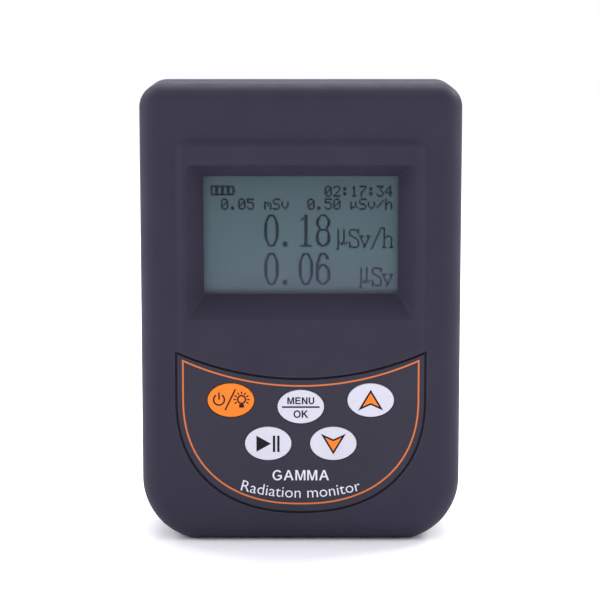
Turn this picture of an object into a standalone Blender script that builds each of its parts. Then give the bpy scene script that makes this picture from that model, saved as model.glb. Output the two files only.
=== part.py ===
"""Pocket Geiger counter (personal dose meter): case, display, keypad, detector, board, cells and belt clip.

Frame: +Z up, the front face looks along -Y, and the origin is under the middle of the bounding box, on the
surface that the instrument stands on. Lengths are in metres. A "depth" is measured from the case's front face
towards its back, and at() turns it into a Y coordinate.
"""

import math

import bmesh
import bpy
from mathutils import Matrix, Vector

# ---------------------------------------------------------------- driving dimensions
CASE_WIDTH = 0.072
CASE_HEIGHT = 0.1036
CASE_DEPTH = 0.028
TOP_RADIUS = 0.0053
BOTTOM_RADIUS = 0.0146
BOTTOM_FLAT_CUT = 0.00045  # the bottom arcs would end this far below the flat that the case stands on
EDGE_RADIUS = 0.0042
WALL = 0.0020
PARTING_DEPTH = 0.0140
GAP = 0.0003

PANEL_RAISE = 0.0012
CLIP_GAP = 0.0048
CLIP_PLATE = 0.0020
TOTAL_DEPTH = PANEL_RAISE + CASE_DEPTH + CLIP_GAP + CLIP_PLATE
FACE_Y = PANEL_RAISE - TOTAL_DEPTH / 2

# raised display panel
PANEL_HALF_WIDTH = 0.0282
PANEL_BOTTOM, PANEL_TOP = 0.0360, 0.0919
PANEL_CORNER = 0.0030
PANEL_EDGE = 0.0011
PANEL_LOW_SHARE = 0.12  # the panel's height at its lower end, as a share of that at its upper end

# display opening, at the back of its sloping frame
VIEW_HALF_WIDTH = 0.0218
VIEW_BOTTOM, VIEW_TOP = 0.0564, 0.0829
VIEW_DEPTH = 0.0038
SLOPE_SIDE, SLOPE_TOP, SLOPE_BOTTOM = 0.77, 0.60, 1.05  # run of each slope for a unit of depth
FRAME_WALL = 0.0032

# lip of the rear shell, which enters the front shell
LIP_THICKNESS = 0.0010
LIP_FRONT, LIP_ROOT_FRONT, LIP_ROOT_BACK = PARTING_DEPTH - 0.0018, PARTING_DEPTH + 0.0010, 0.0170

# keypad
KEYPAD_HALF_WIDTH = 0.02825
KEYPAD_TOP_MIDDLE = 0.03775
KEYPAD_TOP_RADIUS = 0.0680
KEYPAD_SIDE_END = 0.0330
KEYPAD_BOTTOM = 0.0066
KEYPAD_POWER = 2.3  # exponent of the superellipse that rounds the keypad's lower end
POCKET_DEPTH = 0.00095
OVERLAY_FRONT, OVERLAY_BACK = 0.00005, 0.00065
OVERLAY_INSET = 0.0005

KEY_WIDTH, KEY_HEIGHT = 0.0105, 0.0077
KEYS = {
    "power": (-0.01575, 0.03265),
    "menu": (0.0, 0.03116),
    "up": (0.01575, 0.03265),
    "play": (-0.00735, 0.0227),
    "down": (0.00735, 0.0227),
}
KEY_FRONT = -0.00012
KEY_FLANGE_FRONT, KEY_FLANGE_BACK = WALL + GAP, 0.0031
KEY_FLANGE_WIDTH = 0.00105
KEY_POST_RADIUS, KEY_POST_BACK = 0.0017, 0.0047
KEY_RIM_WIDTH, KEY_RIM_DEPTH = 0.0003, 0.00012
KEY_STEPS = 24

# board and display stack, as depths
WINDOW_FRONT, WINDOW_BACK = VIEW_DEPTH + GAP, 0.0051
WINDOW_MARGIN = 0.0016
GLASS_FRONT, GLASS_BACK = 0.0054, 0.0072
GLASS_HALF_WIDTH, GLASS_BOTTOM, GLASS_TOP = 0.0246, 0.0526, 0.0848
DISPLAY_FRAME_RIM = 0.0016
RIBBON_HALF_WIDTH, RIBBON_THICKNESS, RIBBON_BEND, RIBBON_END = 0.0120, 0.0003, 0.0016, 0.0475
LIGHT_FRONT, LIGHT_BACK = 0.0075, 0.0099
BOARD_FRONT, BOARD_BACK = 0.0102, 0.0118
BOARD_INSET = 0.0046
SWITCH_FRONT, SWITCH_BACK = 0.0065, BOARD_FRONT - GAP
SWITCH_SIDE = 0.0060
SWITCH_HOLE_RADIUS, SWITCH_HOLE_BACK = 0.00205, 0.0081
STEM_FRONT, STEM_BACK, STEM_RADIUS = KEY_POST_BACK + GAP, 0.0076, 0.00175

# fastenings
TOP_BOSS = (0.0292, 0.0962)
BOTTOM_BOSS = (0.0298, 0.0138)
BOSSES = (("top", TOP_BOSS, 0.0132), ("bottom", BOTTOM_BOSS, 0.0122))  # each with its front boss's end depth
BOARD_POST = (0.0275, 0.0470)
BOARD_POST_RADIUS, BOARD_POST_HOLE_RADIUS, BOARD_HOLE_RADIUS = 0.0022, 0.0010, 0.0011
BOARD_SCREW_RADIUS, BOARD_HEAD_RADIUS = 0.0007, 0.0016
PILOT_START, SCREW_TIP = 0.0040, 0.0060
BOSS_RADIUS, REAR_BOSS_RADIUS = 0.0026, 0.0032
SCREW_RADIUS, SCREW_HOLE_RADIUS = 0.0010, 0.0013
HEAD_RADIUS, COUNTERBORE_RADIUS, COUNTERBORE_DEPTH = 0.0019, 0.00225, 0.0200

# battery compartment, for two AAA cells lying across the case
CELL_RADIUS, CELL_LENGTH = 0.00525, 0.0445
CELL_DEPTH = 0.0195
CELL_HEIGHTS = {"lower": 0.0181, "upper": 0.0297}
BAY_HALF_WIDTH, BAY_BOTTOM, BAY_TOP = 0.0254, 0.0122, 0.0356
BAY_FLOOR_FRONT, BAY_FLOOR_BACK = 0.0126, 0.0138
BAY_WALL = 0.0022
DOOR_HALF_WIDTH, DOOR_BOTTOM, DOOR_TOP = 0.0264, 0.0107, 0.0371
DOOR_FRONT = 0.0264
TAB_X, TAB_HALF_WIDTH = 0.0150, 0.0030
LATCH_SLIT_X, LATCH_SLIT_WIDTH, LATCH_SLIT_BOTTOM = 0.0056, 0.0006, 0.0320
DISH_RADIUS, DISH_HEIGHT, DISH_DEPTH = 0.0075, 0.0345, 0.0274
PAD_HALF_WIDTH, PAD_BOTTOM, PAD_TOP, PAD_FRONT = 0.0180, 0.0215, 0.0263, 0.0250
CONTACT_THICKNESS = 0.0004
CONTACT_X = 0.0249
CONTACT_FRONT, CONTACT_BACK = 0.0152, 0.0240
TAIL_HALF_WIDTH, TAIL_SLOT_HALF_WIDTH, TAIL_SLOT_HALF_LENGTH = 0.0010, 0.0006, 0.0015
SPRING_WIDE, SPRING_NARROW, SPRING_TURNS, SPRING_WIRE = 0.0032, 0.0018, 3.5, 0.0003

# Geiger-Mueller tube
TUBE_HEIGHT, TUBE_DEPTH = 0.0865, 0.0194
TUBE_RADIUS, TUBE_HALF_LENGTH = 0.0046, 0.0270
TUBE_CLIP_X = 0.0236

# belt clip
PIVOT_HEIGHT, PIVOT_DEPTH = 0.0800, 0.0308
CLIP_TOP, CLIP_TIP = 0.0930, 0.0460
CLIP_HALF_WIDTH, CLIP_TIP_HALF_WIDTH = 0.0100, 0.0085
CLIP_CORNER, CLIP_EDGE = 0.0030, 0.0007
KNUCKLE_RADIUS, KNUCKLE_INNER, KNUCKLE_OUTER, BORE_RADIUS = 0.0015, 0.0042, 0.0066, 0.0010
GROOVES, GROOVE_START, GROOVE_PITCH, GROOVE_WIDTH, GROOVE_DEPTH = 4, 0.0850, 0.0018, 0.0008, 0.0004
GROOVE_HALF_LENGTH = 0.0060
BRACKET_HALF_WIDTH, BRACKET_BOTTOM, BRACKET_TOP = 0.0085, 0.0680, 0.0860
BRACKET_THICKNESS = 0.0007
BRACKET_SCREW = (0.0050, 0.0720)
EAR_INNER, EAR_OUTER, EAR_RADIUS, EAR_HALF_FOOT = 0.0070, 0.0079, 0.0017, 0.0030
PIN_RADIUS, PIN_HEAD_RADIUS, PIN_HEAD_LENGTH = 0.0007, 0.0014, 0.0006
TORSION_WIRE, TORSION_RADIUS, TORSION_TURNS, TORSION_HALF_LENGTH = 0.00025, 0.00125, 4, 0.0030

# sounder and vibration motor
BUZZER_X, BUZZER_HEIGHT, BUZZER_RADIUS = 0.0210, 0.0620, 0.0060
SOUND_HOLE_RADIUS, SOUND_RING_RADIUS, SOUND_RING_HOLES = 0.0007, 0.0028, 6
MOTOR_HEIGHT, MOTOR_DEPTH, MOTOR_RADIUS = 0.0620, 0.0155, 0.0030


def at(depth):
    """The Y coordinate of a plane this deep behind the case's front face."""
    return FACE_Y + depth


# ---------------------------------------------------------------- scene and materials
def clear_scene():
    for obj in list(bpy.data.objects):
        bpy.data.objects.remove(obj, do_unlink=True)


def new_collection(name):
    collection = bpy.data.collections.new(name)
    bpy.context.scene.collection.children.link(collection)
    return collection


clear_scene()
PARTS = new_collection("geiger_counter")
CUTTERS = new_collection("cutters")


def material(name, color, roughness, metallic=0.0):
    made = bpy.data.materials.new(name)
    made.use_nodes = True
    shader = made.node_tree.nodes["Principled BSDF"]
    shader.inputs["Base Color"].default_value = (*color, 1.0)
    shader.inputs["Roughness"].default_value = roughness
    shader.inputs["Metallic"].default_value = metallic
    return made


SHELL = material("shell_plastic", (0.040, 0.038, 0.052), 0.55)
FILM = material("overlay_film", (0.042, 0.042, 0.054), 0.45)
WHITE = material("key_white", (0.72, 0.72, 0.80), 0.50)
ORANGE = material("key_orange", (1.0, 0.24, 0.012), 0.50)
LENS = material("lens_clear", (0.60, 0.64, 0.64), 0.08)
DISPLAY = material("display_glass", (0.09, 0.14, 0.15), 0.15)
DIFFUSER = material("diffuser_white", (0.80, 0.80, 0.78), 0.60)
BOARD = material("board_laminate", (0.02, 0.12, 0.05), 0.45)
BLACK = material("moulded_black", (0.015, 0.015, 0.017), 0.50)
STEEL = material("steel", (0.55, 0.55, 0.56), 0.35, 1.0)
BRASS = material("brass", (0.70, 0.50, 0.22), 0.35, 1.0)
FERRITE = material("ferrite", (0.05, 0.05, 0.055), 0.60)
CELL_WRAP = material("cell_wrap", (0.03, 0.05, 0.10), 0.35)
FOAM = material("foam", (0.05, 0.05, 0.05), 0.95)
RIBBON = material("ribbon_film", (0.55, 0.28, 0.05), 0.40)


# ---------------------------------------------------------------- modelling helpers
def link(obj, look=None, collection=None):
    """Puts obj in one collection only, and gives it its material."""
    for old in list(obj.users_collection):
        old.objects.unlink(obj)
    (collection or PARTS).objects.link(obj)
    if look is not None:
        obj.data.materials.clear()
        obj.data.materials.append(look)
    return obj


def as_helper(obj):
    """Makes obj a cutter, or a shape that a union takes in: it isn't a piece of its own."""
    link(obj, collection=CUTTERS)
    obj.hide_render = True
    obj.display_type = "WIRE"
    return obj


def boolean(target, operation, helper):
    modifier = target.modifiers.new(f"{operation.lower()} {helper.name}", "BOOLEAN")
    modifier.operation = operation
    modifier.solver = "EXACT"
    modifier.object = as_helper(helper)


def cut(target, *helpers):
    for helper in helpers:
        boolean(target, "DIFFERENCE", helper)
    return target


def join(target, *helpers):
    for helper in helpers:
        boolean(target, "UNION", helper)
    return target


def set_origin(obj, point):
    """Moves obj's origin to a point, such as one on its joint's axis, and leaves its shape where it is."""
    offset = Vector(point) - obj.location
    obj.data.transform(Matrix.Translation(-offset))
    obj.location = point
    return obj


def shade(obj, degrees=35):
    obj.data.shade_smooth()
    obj.data.set_sharp_from_angle(angle=math.radians(degrees))
    return obj


def box(name, low, high, look=None):
    """A block between two corners given as (x, depth, z)."""
    low, high = Vector((low[0], at(low[1]), low[2])), Vector((high[0], at(high[1]), high[2]))
    bpy.ops.mesh.primitive_cube_add(size=1, location=(low + high) / 2)
    obj = bpy.context.object
    obj.name = name
    obj.scale = high - low
    bpy.ops.object.transform_apply(location=False, rotation=False, scale=True)
    return link(obj, look)


def rod(name, radius, centre, near, far, sides=20, look=None, axis="Y"):
    """A cylinder along Y at (x, z) between two depths, or along X at (depth, z) between two x."""
    length, middle = far - near, (near + far) / 2
    if axis == "Y":
        location, turn = (centre[0], at(middle), centre[1]), (math.pi / 2, 0, 0)
    else:
        location, turn = (middle, at(centre[0]), centre[1]), (0, math.pi / 2, 0)
    bpy.ops.mesh.primitive_cylinder_add(
        vertices=sides, radius=radius, depth=length, location=location, rotation=turn
    )
    obj = bpy.context.object
    obj.name = name
    return shade(link(obj, look))


def mesh_from_curve(obj):
    """The curve object as a mesh object of the same name and place, with its caps welded."""
    bpy.context.scene.collection.objects.link(obj)
    bpy.context.view_layer.update()
    graph = bpy.context.evaluated_depsgraph_get()
    mesh = bpy.data.meshes.new_from_object(obj.evaluated_get(graph))
    mesh.transform(obj.matrix_world)
    name = obj.name
    bpy.data.objects.remove(obj)
    work = bmesh.new()
    work.from_mesh(mesh)
    bmesh.ops.remove_doubles(work, verts=work.verts, dist=1e-7)
    bmesh.ops.dissolve_limit(work, angle_limit=1e-3, verts=work.verts, edges=work.edges)
    bmesh.ops.recalc_face_normals(work, faces=work.faces)
    work.to_mesh(mesh)
    work.free()
    return bpy.data.objects.new(name, mesh)


def slab(name, outlines, near, far, look=None, plane="XZ"):
    """Flat outlines, the first the rim and the rest its holes, extruded.

    In plane XZ the points are (x, z), and near and far are depths. In plane YZ the points are (depth, z), and
    near and far are x.
    """
    curve = bpy.data.curves.new(name, "CURVE")
    curve.dimensions = "2D"
    curve.fill_mode = "BOTH"
    curve.extrude = (far - near) / 2
    for points in outlines:
        spline = curve.splines.new("POLY")
        spline.points.add(len(points) - 1)
        for point, (across, up) in zip(spline.points, points):
            point.co = (across if plane == "XZ" else at(across), up, 0, 1)
        spline.use_cyclic_u = True
    obj = bpy.data.objects.new(name, curve)
    middle = (near + far) / 2
    if plane == "XZ":
        obj.location = (0, at(middle), 0)
        obj.rotation_euler = (math.pi / 2, 0, 0)
    else:
        obj.location = (middle, 0, 0)
        obj.rotation_euler = (math.pi / 2, 0, math.pi / 2)
    return shade(link(mesh_from_curve(obj), look))


def round_edges(obj, width, segments, chosen):
    """Rounds the edges whose two ends both satisfy chosen(point)."""
    work = bmesh.new()
    work.from_mesh(obj.data)
    edges = [e for e in work.edges if all(chosen(v.co) for v in e.verts)]
    bmesh.ops.bevel(
        work, geom=edges, offset=width, segments=segments, profile=0.5, affect="EDGES", clamp_overlap=True
    )
    work.to_mesh(obj.data)
    work.free()
    return shade(obj)


def on_plane(depth):
    """A test for points at this depth."""
    return lambda point: abs(point.y - at(depth)) < 1e-6


def turned(name, profile, centre, look, axis="Y", steps=24, squeeze=1.0, closed=False):
    """A turned solid. Its profile is a list of (radius, distance along the axis from centre), far end first.

    centre is (x, depth, z). squeeze scales the section's height, which makes it an ellipse.
    """
    mesh = bpy.data.meshes.new(name)
    edges = [(i, i + 1) for i in range(len(profile) - 1)]
    if closed:
        edges.append((len(profile) - 1, 0))
    mesh.from_pydata([(radius, 0, along) for radius, along in profile], edges, [])
    obj = link(bpy.data.objects.new(name, mesh), look)
    screw = obj.modifiers.new("turn", "SCREW")
    screw.steps = screw.render_steps = steps
    screw.use_merge_vertices = True
    screw.merge_threshold = 1e-5
    screw.use_smooth_shade = True
    obj.location = (centre[0], at(centre[1]), centre[2])
    obj.rotation_euler = (-math.pi / 2, 0, 0) if axis == "Y" else (0, math.pi / 2, 0)
    obj.scale = (1, squeeze, 1)
    return obj


def wire(name, points, radius, look, resolution=1):
    """A round wire through points given as (x, depth, z)."""
    curve = bpy.data.curves.new(name, "CURVE")
    curve.dimensions = "3D"
    curve.bevel_depth = radius
    curve.bevel_resolution = resolution
    curve.use_fill_caps = True
    spline = curve.splines.new("POLY")
    spline.points.add(len(points) - 1)
    for point, (x, depth, z) in zip(spline.points, points):
        point.co = (x, at(depth), z, 1)
    return link(bpy.data.objects.new(name, curve), look)


def screw(name, x, z, head_depth, tip_depth, look, radius=SCREW_RADIUS, head=HEAD_RADIUS):
    """A cross-head screw driven from the back: head_depth is where its head bears."""
    head_height = 0.75 * head
    obj = turned(
        name,
        [
            (0, head_height),
            (0.7 * head, head_height),
            (head, 0.5 * head_height),
            (head, 0),
            (radius, 0),
            (radius, tip_depth - head_depth + radius),
            (0, tip_depth - head_depth),
        ],
        (x, head_depth, z),
        look,
        steps=12,
    )
    slot_half, slot_bottom = 0.17 * head, head_depth + 0.35 * head_height
    for number, (half_x, half_z) in enumerate(((0.62 * head, slot_half), (slot_half, 0.62 * head))):
        cut(
            obj,
            box(
                f"{name}_slot_{number}",
                (x - half_x, slot_bottom, z - half_z),
                (x + half_x, head_depth + 2 * head_height, z + half_z),
            ),
        )
    return obj


# ---------------------------------------------------------------- outlines
def arc(centre, radius, start, end, steps):
    """Points on an arc, from one angle to another in degrees."""
    angles = [math.radians(start + (end - start) * i / steps) for i in range(steps + 1)]
    return [(centre[0] + radius * math.cos(a), centre[1] + radius * math.sin(a)) for a in angles]


def mirrored(right):
    """An outline from its right half, which runs from the bottom up to the top."""
    return right + [(-x, z) for x, z in reversed(right) if x > 1e-9]


def case_outline(inset=0.0, top_steps=6, bottom_steps=9):
    """The case seen from the front: tight arcs on top, wide arcs below that end on the standing flat."""
    low = BOTTOM_RADIUS - BOTTOM_FLAT_CUT
    radius = BOTTOM_RADIUS - inset
    first = -math.degrees(math.asin((low - inset) / radius))
    bottom = arc((CASE_WIDTH / 2 - BOTTOM_RADIUS, low), radius, first, 0, bottom_steps)
    top_centre = (CASE_WIDTH / 2 - TOP_RADIUS, CASE_HEIGHT - TOP_RADIUS)
    return mirrored(bottom + arc(top_centre, TOP_RADIUS - inset, 0, 90, top_steps))


def keypad_outline(inset=0.0, arc_steps=10, end_steps=22):
    """The keypad: a sagging arc above, straight sides, and a superellipse below."""
    half = KEYPAD_HALF_WIDTH - inset
    radius = KEYPAD_TOP_RADIUS + inset
    centre_z = KEYPAD_TOP_MIDDLE + KEYPAD_TOP_RADIUS
    fall = KEYPAD_SIDE_END - KEYPAD_BOTTOM - inset
    lower = []
    for i in range(end_steps + 1):
        angle = math.pi / 2 * i / end_steps
        x = half * math.sin(angle) ** (2 / KEYPAD_POWER)
        lower.append((x, KEYPAD_SIDE_END - fall * math.cos(angle) ** (2 / KEYPAD_POWER)))
    across = [half * (1 - i / arc_steps) for i in range(arc_steps + 1)]
    upper = [(x, centre_z - math.sqrt(radius**2 - x**2)) for x in across]
    return mirrored(lower[1:] + upper)[:-1] + [lower[0]]


def rounded_rectangle(half_width, bottom, top, radius, steps=4):
    right = arc((half_width - radius, bottom + radius), radius, -90, 0, steps)
    right += arc((half_width - radius, top - radius), radius, 0, 90, steps)
    return mirrored(right)


def ellipse(width, height, centre, steps=KEY_STEPS):
    return [
        (
            centre[0] + width / 2 * math.cos(2 * math.pi * i / steps),
            centre[1] + height / 2 * math.sin(2 * math.pi * i / steps),
        )
        for i in range(steps)
    ]


def rectangle(x0, x1, z0, z1):
    return [(x0, z0), (x1, z0), (x1, z1), (x0, z1)]


# ---------------------------------------------------------------- case
def raised_panel():
    """The panel round the display, which stands out at its top and fades into the face above the keypad."""
    outline = rounded_rectangle(PANEL_HALF_WIDTH, PANEL_BOTTOM, PANEL_TOP, PANEL_CORNER)
    panel = slab("raised_panel", [outline], -PANEL_RAISE, WALL / 2)
    round_edges(panel, PANEL_EDGE, 3, on_plane(-PANEL_RAISE))
    full_height = PANEL_TOP - PANEL_EDGE
    for vertex in panel.data.vertices:
        if vertex.co.y < at(0):
            share = (vertex.co.z - PANEL_BOTTOM) / (full_height - PANEL_BOTTOM)
            share = PANEL_LOW_SHARE + (1 - PANEL_LOW_SHARE) * min(1.0, max(0.0, share))
            vertex.co.y = at(0) + (vertex.co.y - at(0)) * share
    return panel


def display_slopes():
    """The cutter for the four slopes that lead down to the display."""
    cutter = box("display_slopes", (-1, 0, 0), (1, 1, 1))
    for vertex in cutter.data.vertices:
        place = cutter.matrix_world @ vertex.co
        outer = place.y < at(0.5)
        depth = -0.0020 if outer else VIEW_DEPTH + 0.0007
        rise = VIEW_DEPTH - depth
        side = VIEW_HALF_WIDTH + SLOPE_SIDE * rise
        low, high = VIEW_BOTTOM - SLOPE_BOTTOM * rise, VIEW_TOP + SLOPE_TOP * rise
        vertex.co = (math.copysign(side, place.x), at(depth), high if place.z > 0.5 else low)
    cutter.location = (0, 0, 0)
    return cutter


def key_hole(name, grow, near, far):
    x, z = KEYS[name]
    return slab(f"{name}_hole_{near}", [ellipse(KEY_WIDTH + grow, KEY_HEIGHT + grow, (x, z))], near, far)


def both_sides(point):
    return ((point[0], point[1]), (-point[0], point[1]))


def front_shell():
    shell = slab("front_shell", [case_outline()], 0, PARTING_DEPTH, SHELL)
    round_edges(shell, EDGE_RADIUS, 4, on_plane(0))
    join(shell, raised_panel())
    cavity = slab("front_cavity", [case_outline(WALL)], WALL, PARTING_DEPTH + 0.001)
    cut(shell, round_edges(cavity, EDGE_RADIUS - WALL, 3, on_plane(WALL)))
    join(
        shell,
        box(
            "display_frame_wall",
            (-VIEW_HALF_WIDTH - FRAME_WALL, WALL / 2, VIEW_BOTTOM - FRAME_WALL),
            (VIEW_HALF_WIDTH + FRAME_WALL, VIEW_DEPTH, VIEW_TOP + FRAME_WALL),
        ),
    )
    cut(shell, display_slopes())
    for _, corner, end in BOSSES:
        for x, z in both_sides(corner):
            join(shell, rod(f"front_boss_{x}_{z}", BOSS_RADIUS, (x, z), WALL / 2, end))
    for x, z in both_sides(BOARD_POST):
        join(shell, rod(f"board_post_{x}", BOARD_POST_RADIUS, (x, z), WALL / 2, BOARD_FRONT - GAP, 16))
        cut(shell, rod(f"board_post_hole_{x}", BOARD_POST_HOLE_RADIUS, (x, z), PILOT_START, BOARD_FRONT, 12))
    cut(shell, slab("keypad_pocket", [keypad_outline()], -0.002, POCKET_DEPTH))
    for name in KEYS:
        cut(shell, key_hole(name, 2 * GAP, POCKET_DEPTH - 0.0005, WALL + 0.0005))
    for _, corner, end in BOSSES:
        for x, z in both_sides(corner):
            cut(shell, rod(f"front_pilot_{x}_{z}", SCREW_HOLE_RADIUS, (x, z), PILOT_START, end + 0.001, 16))
    return shell


def rear_shell():
    shell = slab("rear_shell", [case_outline()], PARTING_DEPTH + GAP, CASE_DEPTH, SHELL)
    round_edges(shell, EDGE_RADIUS, 4, on_plane(CASE_DEPTH))
    cavity = slab("rear_cavity", [case_outline(WALL)], PARTING_DEPTH - 0.001, CASE_DEPTH - WALL)
    cut(shell, round_edges(cavity, EDGE_RADIUS - WALL, 3, on_plane(CASE_DEPTH - WALL)))
    lip_out = WALL + GAP
    lip_in = lip_out + LIP_THICKNESS
    lip_rims = [case_outline(lip_out), case_outline(lip_in)]
    root_rims = [case_outline(WALL / 2), case_outline(lip_in + 0.0001)]
    join(
        shell,
        slab("lip", lip_rims, LIP_FRONT, LIP_ROOT_FRONT + 0.0005),
        slab("lip_root", root_rims, LIP_ROOT_FRONT, LIP_ROOT_BACK),
    )
    for _, corner, end in BOSSES:
        for x, z in both_sides(corner):
            join(shell, rod(f"rear_boss_{x}_{z}", REAR_BOSS_RADIUS, (x, z), end + GAP, 0.0270))
    join(
        shell,
        box(
            "bay_block",
            (-BAY_HALF_WIDTH - BAY_WALL, BAY_FLOOR_FRONT, BAY_BOTTOM - BAY_WALL + 0.0002),
            (BAY_HALF_WIDTH + BAY_WALL, CASE_DEPTH - WALL / 2, BAY_TOP + BAY_WALL),
        ),
    )
    beyond = CASE_DEPTH + 0.001
    cut(
        shell,
        box("bay", (-BAY_HALF_WIDTH, BAY_FLOOR_BACK, BAY_BOTTOM), (BAY_HALF_WIDTH, beyond, BAY_TOP)),
        box(
            "door_pocket",
            (-DOOR_HALF_WIDTH - GAP, DOOR_FRONT - GAP, DOOR_BOTTOM - GAP),
            (DOOR_HALF_WIDTH + GAP, beyond, DOOR_TOP + GAP),
        ),
    )
    for side in (-1, 1):
        half = TAB_HALF_WIDTH + GAP
        low = (side * TAB_X - half, 0.0240, 0.0084)
        cut(shell, box(f"tab_slot_{side}", low, (side * TAB_X + half, DOOR_FRONT - 0.0001, BAY_BOTTOM + 0.001)))
    for name, x, z in TERMINAL_TAILS:
        across, along = TAIL_SLOT_HALF_WIDTH, TAIL_SLOT_HALF_LENGTH
        low = (x - across, BAY_FLOOR_FRONT - 0.0006, z - along)
        cut(shell, box(f"tail_slot_{name}", low, (x + across, BAY_FLOOR_BACK + 0.0007, z + along)))
    for _, corner, _ in BOSSES:
        for x, z in both_sides(corner):
            cut(
                shell,
                rod(f"rear_hole_{x}_{z}", SCREW_HOLE_RADIUS, (x, z), 0.0100, 0.0250, 16),
                rod(f"counterbore_{x}_{z}", COUNTERBORE_RADIUS, (x, z), COUNTERBORE_DEPTH, 0.0300, 20),
            )
    for x, z in both_sides(BRACKET_SCREW):
        cut(shell, rod(f"bracket_hole_{x}", SCREW_HOLE_RADIUS, (x, z), 0.0240, beyond, 16))
    spots = [(BUZZER_X, BUZZER_HEIGHT)]
    for number in range(SOUND_RING_HOLES):
        angle = 2 * math.pi * number / SOUND_RING_HOLES
        across, up = SOUND_RING_RADIUS * math.cos(angle), SOUND_RING_RADIUS * math.sin(angle)
        spots.append((BUZZER_X + across, BUZZER_HEIGHT + up))
    for number, spot in enumerate(spots):
        cut(shell, rod(f"sound_hole_{number}", SOUND_HOLE_RADIUS, spot, 0.0250, beyond, 10))
    return shell


# ---------------------------------------------------------------- display and keypad
def display_parts():
    """The window, the display glass and its backlight in their white frame, and the ribbon to the board."""
    window = rounded_rectangle(
        VIEW_HALF_WIDTH + WINDOW_MARGIN, VIEW_BOTTOM - WINDOW_MARGIN, VIEW_TOP + WINDOW_MARGIN, 0.0008, 2
    )
    slab("display_window", [window], WINDOW_FRONT, WINDOW_BACK, LENS)
    half, low, high = GLASS_HALF_WIDTH, GLASS_BOTTOM, GLASS_TOP
    box("lcd_glass", (-half, GLASS_FRONT, low), (half, GLASS_BACK, high), DISPLAY)
    box("lcd_backlight", (-half, LIGHT_FRONT, low + 0.0004), (half, LIGHT_BACK, high - 0.0004), DIFFUSER)
    rim = DISPLAY_FRAME_RIM
    frame_rims = [
        rectangle(-half - rim, half + rim, low - rim, high + rim),
        rectangle(-half - GAP, half + GAP, low - GAP, high + GAP),
    ]
    frame = slab("lcd_frame", frame_rims, GLASS_FRONT, LIGHT_BACK, DIFFUSER)
    notch = RIBBON_HALF_WIDTH + 0.0005
    notch_low = (-notch, GLASS_FRONT - 0.0004, low - 0.0030)
    cut(frame, box("ribbon_notch", notch_low, (notch, LIGHT_FRONT, low + 0.0001)))
    middle, start = (GLASS_FRONT + GLASS_BACK) / 2, low - 0.0022
    run = [(middle, low - GAP)]
    for angle in angles(0, 90, 4):
        run.append((middle + RIBBON_BEND * (1 - math.cos(angle)), start - RIBBON_BEND * math.sin(angle)))
    run.append((LIGHT_BACK - 0.0002, RIBBON_END))
    strip = ribbon_outline(run, RIBBON_THICKNESS)
    slab("lcd_ribbon", [strip], -RIBBON_HALF_WIDTH, RIBBON_HALF_WIDTH, RIBBON, plane="YZ")


def angles(start, end, steps):
    return [math.radians(start + (end - start) * i / steps) for i in range(steps + 1)]


def ribbon_outline(run, thickness):
    """A strip of even thickness along a run of (depth, z) points."""
    near, far = [], []
    for i, point in enumerate(run):
        before, after = Vector(run[max(i - 1, 0)]), Vector(run[min(i + 1, len(run) - 1)])
        along = (after - before).normalized()
        across = Vector((-along.y, along.x)) * thickness / 2
        near.append(tuple(Vector(point) + across))
        far.append(tuple(Vector(point) - across))
    return near + far[::-1]


def keypad_overlay():
    holes = [ellipse(KEY_WIDTH + GAP, KEY_HEIGHT + GAP, centre) for centre in KEYS.values()]
    slab("keypad_overlay", [keypad_outline(OVERLAY_INSET), *holes], OVERLAY_FRONT, OVERLAY_BACK, FILM)


def key_parts():
    """Each key's cap, the switch under it, and that switch's stem."""
    radius, flange, post = KEY_WIDTH / 2, KEY_WIDTH / 2 + KEY_FLANGE_WIDTH, KEY_POST_RADIUS
    for name, (x, z) in KEYS.items():
        turned(
            f"key_{name}",
            [
                (0, KEY_POST_BACK),
                (post, KEY_POST_BACK),
                (post, KEY_FLANGE_BACK),
                (flange, KEY_FLANGE_BACK),
                (flange, KEY_FLANGE_FRONT),
                (radius, KEY_FLANGE_FRONT),
                (radius, KEY_FRONT + KEY_RIM_DEPTH),
                (radius - KEY_RIM_WIDTH, KEY_FRONT),
                (0, KEY_FRONT),
            ],
            (x, 0, z),
            ORANGE if name == "power" else WHITE,
            steps=KEY_STEPS,
            squeeze=KEY_HEIGHT / KEY_WIDTH,
        )
        turned(
            f"switch_stem_{name}",
            [(0, STEM_BACK), (STEM_RADIUS, STEM_BACK), (STEM_RADIUS, STEM_FRONT), (0, STEM_FRONT)],
            (x, 0, z),
            BLACK,
            steps=16,
        )
        half = SWITCH_SIDE / 2
        low, high = (x - half, SWITCH_FRONT, z - half), (x + half, SWITCH_BACK, z + half)
        body = box(f"switch_body_{name}", low, high, STEEL)
        hole_front = SWITCH_FRONT - 0.0005
        cut(body, rod(f"switch_hole_{name}", SWITCH_HOLE_RADIUS, (x, z), hole_front, SWITCH_HOLE_BACK, 16))


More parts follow.
